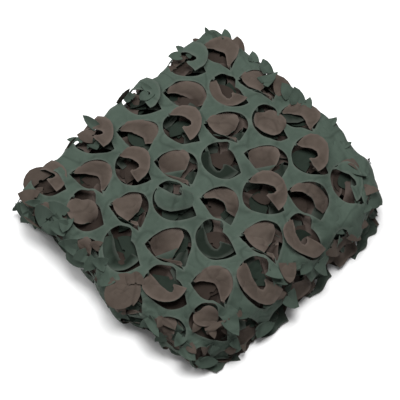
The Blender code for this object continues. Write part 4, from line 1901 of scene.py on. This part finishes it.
def mottle_group() -> bpy.types.NodeTree:
    """Builds the soft patches of fading: a mask from 0 to 1.

    Returns:
        The group.
    """
    group = ShaderGroup("mottle", {"Scale": 30.0, "Contrast": 1.6}, "Mask")
    noise = group.noise(group.given["Scale"], 4.0, 0.6)
    spread = group.math("MULTIPLY", group.math("SUBTRACT", noise, 0.5), group.given["Contrast"])
    level = group.math("ADD", spread, 0.5)
    return group.finish(group.math("MINIMUM", group.math("MAXIMUM", level, 0.0), 1.0))


def crease_group() -> bpy.types.NodeTree:
    """Builds the handling creases: the height of thin ridges between soft dents.

    Returns:
        The group.
    """
    group = ShaderGroup("handling_creases", {"Scale": 26.0, "Sharpness": 3.0}, "Height")
    noise = group.noise(group.given["Scale"], 2.0, 0.45)
    ridge = group.math("ABSOLUTE", group.math("SUBTRACT", noise, 0.5))
    sharp = group.math("MULTIPLY", ridge, group.given["Sharpness"])
    return group.finish(group.math("MINIMUM", sharp, 0.6))


def crease_line_group() -> bpy.types.NodeTree:
    """Builds the lines where the cloth has been folded sharply: a mask from 0 to 1 for the painted shade in them.

    Returns:
        The group.
    """
    group = ShaderGroup("crease_lines", {"Scale": 16.0, "Sharpness": 34.0}, "Mask")
    noise = group.noise(group.given["Scale"], 1.0, 0.4)
    ridge = group.math("ABSOLUTE", group.math("SUBTRACT", noise, 0.5))
    near = group.math("MULTIPLY", ridge, group.given["Sharpness"])
    return group.finish(group.math("SUBTRACT", 1.0, group.math("MINIMUM", near, 1.0)))


@dataclass(frozen=True)
class ClothFinish:
    """One face of the net's cloth.

    Attributes:
        name: The material's name.
        color: Its main colour.
        faded: The colour of its paler patches.
        deep: The colour of its darker patches.
        worn: The colour of its cut edges.
        kept: The painted shade colour, for covered and deep-hanging cloth and for the crease lines.
        roughness: Its roughness.
        sheen: Its sheen.
        specular: Its plain reflection.
        fray: How far the wear shows.
        lined: How dark the painted shade of its crease lines is.
        creases: Height of its handling creases, in metres.
        threads: Height of its weave, in metres.
    """

    name: str
    color: tuple[float, float, float]
    faded: tuple[float, float, float]
    deep: tuple[float, float, float]
    worn: tuple[float, float, float]
    kept: tuple[float, float, float]
    roughness: float = 0.84
    sheen: float = 0.02
    specular: float = 0.08
    fray: float = 0.28
    lined: float = 0.30
    creases: float = 0.0045
    threads: float = 0.00004

    def material(
        self,
        weave: bpy.types.NodeTree,
        mottle: bpy.types.NodeTree,
        crease: bpy.types.NodeTree,
        line: bpy.types.NodeTree,
    ) -> bpy.types.Material:
        """Builds the finish as a material.

        Args:
            weave: The group of the threads.
            mottle: The group of the fading.
            crease: The group of the creases.
            line: The group of the crease lines.

        Returns:
            The material.
        """
        made = bpy.data.materials.new(self.name)
        made.use_nodes = True
        nodes, links = made.node_tree.nodes, made.node_tree.links
        shader = nodes["Principled BSDF"]
        shader.inputs["Specular IOR Level"].default_value = self.specular
        shader.inputs["Sheen Weight"].default_value = self.sheen
        shader.inputs["Sheen Roughness"].default_value = 0.5
        flat = nodes.new("ShaderNodeUVMap")
        flat.uv_map = FLAT_MAP

        def group(tree: bpy.types.NodeTree, **values: float) -> bpy.types.NodeSocket:
            """Places a group on the flat map with its own values and returns its output.

            Args:
                tree: The group.
                values: Its inputs.

            Returns:
                Its output.
            """
            node = nodes.new("ShaderNodeGroup")
            node.node_tree = tree
            links.new(flat.outputs["UV"], node.inputs["Vector"])
            for title, value in values.items():
                node.inputs[title].default_value = value
            return node.outputs[0]

        def attribute(name: str) -> bpy.types.NodeSocket:
            """Reads one of the cloth's own values.

            Args:
                name: The attribute's name.

            Returns:
                Its values.
            """
            node = nodes.new("ShaderNodeAttribute")
            node.attribute_name = name
            return node.outputs["Fac"]

        def bump(height: bpy.types.NodeSocket, distance: float, strength: float) -> bpy.types.Node:
            """Adds a Bump node on a height.

            Args:
                height: The height.
                distance: How far it goes, in metres.
                strength: How much it counts.

            Returns:
                The node.
            """
            node = nodes.new("ShaderNodeBump")
            node.inputs["Distance"].default_value = distance
            node.inputs["Strength"].default_value = strength
            links.new(height, node.inputs["Height"])
            return node

        def mix(mask: bpy.types.NodeSocket, low: object, high: object) -> bpy.types.NodeSocket:
            """Mixes two colours by a mask.

            Args:
                mask: How much of the second one shows.
                low: The first colour, as a socket or a colour.
                high: The second one.

            Returns:
                The mixed colour.
            """
            node = nodes.new("ShaderNodeMix")
            node.data_type = "RGBA"
            links.new(mask, node.inputs["Factor"])
            for socket, value in ((node.inputs[6], low), (node.inputs[7], high)):
                if isinstance(value, bpy.types.NodeSocket):
                    links.new(value, socket)
                else:
                    socket.default_value = (*value, 1.0)
            return node.outputs[2]

        patches = group(mottle, Scale=14.0, Contrast=2.2)
        specks = group(mottle, Scale=90.0, Contrast=1.5)
        tone = mix(specks, mix(patches, self.deep, self.color), mix(patches, self.color, self.faded))
        # Painted shade: crease lines darken the colour towards the kept colour
        lines = math_node(made.node_tree, "MULTIPLY", group(line, Scale=16.0), self.lined)
        # Painted shade: the shade attribute darkens the colour towards the kept colour
        tone = mix(attribute("shade"), mix(lines, tone, self.kept), self.kept)
        fray = math_node(made.node_tree, "MULTIPLY", attribute("wear"), self.fray)
        links.new(mix(fray, tone, self.worn), shader.inputs["Base Color"])

        rough = nodes.new("ShaderNodeMapRange")
        rough.inputs["To Min"].default_value = self.roughness - 0.06
        rough.inputs["To Max"].default_value = self.roughness + 0.08
        links.new(specks, rough.inputs["Value"])
        links.new(rough.outputs[0], shader.inputs["Roughness"])

        folds = bump(group(crease, Scale=34.0, Sharpness=2.6), self.creases, 0.8)
        threads = bump(group(weave, Pitch=0.0009), self.threads, 0.7)
        links.new(folds.outputs["Normal"], threads.inputs["Normal"])
        links.new(threads.outputs["Normal"], shader.inputs["Normal"])
        return made


@dataclass(frozen=True)
class Studio:
    """Pale floor, soft light and the camera at the photograph's angle.

    Attributes:
        azimuth: The camera's angle round the pad, in degrees from -Y towards +X.
        elevation: Its angle above the floor, in degrees.
        distance: Its distance from what it looks at.
        lens: Its focal length in mm.
        looked_at: The point that it looks at.
        aim_right: How far right of that point it aims.
        aim_up: How far above it.
        ambient: Strength of the even light all round.
        floor_reach: Half the floor's width.
        floor_tone: How pale the floor is.
        lamps: Each lamp's name, place, width and power.
    """

    azimuth: float = 45.0
    elevation: float = 60.0
    distance: float = 1.5
    lens: float = 103.85
    looked_at: tuple[float, float, float] = (0.0009, -0.0092, 0.045)
    aim_right: float = -0.0026
    aim_up: float = 0.0039
    ambient: float = 0.24
    floor_reach: float = 6.0
    floor_tone: float = 0.92
    lamps: tuple[tuple[str, tuple[float, float, float], float, float], ...] = (
        ("overhead", (0.0, 0.15, 1.8), 0.9, 36.5),
        ("side", (-1.2, -0.3, 1.4), 1.0, 17.0),
    )

    def build(self) -> None:
        """Makes the floor, the lights, the world and the camera."""
        self.add_floor()
        self.add_lights()
        self.add_camera()

    def add_floor(self) -> None:
        """Makes the plain pale floor."""
        data = bpy.data.meshes.new("floor")
        far = self.floor_reach
        data.from_pydata([(-far, -far, 0), (far, -far, 0), (far, far, 0), (-far, far, 0)], [], [(0, 1, 2, 3)])
        floor = add_object("floor", data)
        material = bpy.data.materials.new("floor")
        material.use_nodes = True
        shader = material.node_tree.nodes["Principled BSDF"]
        shader.inputs["Base Color"].default_value = (*[self.floor_tone] * 3, 1.0)
        shader.inputs["Roughness"].default_value = 0.9
        data.materials.append(material)

    def add_lights(self) -> None:
        """Makes the soft light from above and the even light all round."""
        scene = bpy.context.scene
        scene.view_settings.view_transform = "Standard"
        world = bpy.data.worlds.new("studio")
        world.use_nodes = True
        nodes, links = world.node_tree.nodes, world.node_tree.links
        nodes["Background"].inputs["Color"].default_value = (1.0, 1.0, 1.0, 1.0)
        path = nodes.new("ShaderNodeLightPath")
        level = nodes.new("ShaderNodeMapRange")
        level.inputs["To Min"].default_value = self.ambient
        level.inputs["To Max"].default_value = 1.0
        links.new(path.outputs["Is Camera Ray"], level.inputs["Value"])
        links.new(level.outputs[0], nodes["Background"].inputs["Strength"])
        scene.world = world
        for name, place, size, power in self.lamps:
            light = bpy.data.lights.new(name, "AREA")
            light.size = size
            light.energy = power
            lamp = add_object(name, light)
            lamp.location = place
            lamp.rotation_euler = (-Vector(place)).to_track_quat("-Z", "Y").to_euler()

    def add_camera(self) -> None:
        """Makes the camera."""
        azimuth, elevation = math.radians(self.azimuth), math.radians(self.elevation)
        back = Vector(
            (math.sin(azimuth) * math.cos(elevation), -math.cos(azimuth) * math.cos(elevation), math.sin(elevation))
        )
        right = Vector((math.cos(azimuth), math.sin(azimuth), 0.0))
        up = back.cross(right)
        aim = Vector(self.looked_at) + right * self.aim_right + up * self.aim_up
        data = bpy.data.cameras.new("camera")
        data.lens = self.lens
        data.sensor_width = 36.0
        camera = add_object("camera", data)
        camera.location = aim + back * self.distance
        camera.rotation_euler = back.to_track_quat("Z", "Y").to_euler()
        bpy.context.scene.camera = camera


GREEN = ClothFinish(
    "net_green",
    color=(0.047, 0.066, 0.052),
    faded=(0.060, 0.083, 0.067),
    deep=(0.035, 0.050, 0.040),
    worn=(0.110, 0.120, 0.105),
    # kept: the painted shade colour
    kept=(0.009, 0.014, 0.010),
)
BROWN = ClothFinish(
    "net_brown",
    color=(0.063, 0.049, 0.040),
    faded=(0.081, 0.065, 0.054),
    deep=(0.043, 0.033, 0.026),
    worn=(0.150, 0.120, 0.105),
    # kept: the painted shade colour
    kept=(0.021, 0.015, 0.012),
)


def main() -> None:
    """Builds the net and the studio, and reports each piece."""
    logging.basicConfig(level=logging.INFO, format="%(name)s: %(message)s")
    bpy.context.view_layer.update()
    groups = (weave_group(), mottle_group(), crease_group(), crease_line_group())
    green, brown = GREEN.material(*groups), BROWN.material(*groups)
    sheet = NetSheet()
    path = sheet.pattern.path
    net = sheet.build(green, brown)
    plan = InnerLeafPlan(sheet)
    inner = LooseLeaves("inner_leaves", path, bend=0.05).build(
        plan.under_cuts() + plan.from_table(ROUND_LEAVES), green, brown
    )
    side = LooseLeaves("side_leaves", path, radius=0.022, bend=0.5, point=1.0, seed=9).build(
        plan.along_sides() + plan.along_folds() + plan.from_table(EDGE_LEAVES), green, brown
    )
    for piece in (net, inner, side):
        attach(piece, "root")
        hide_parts("net_cloth")
        LOG.info("%s: %d faces", piece.name, len(piece.data.polygons))
    width, length = 2 * sheet.pattern.half_width, path.total()
    LOG.info("%.3f m of cloth", length)
    Studio().build()


if __name__ == "__main__":
    main()
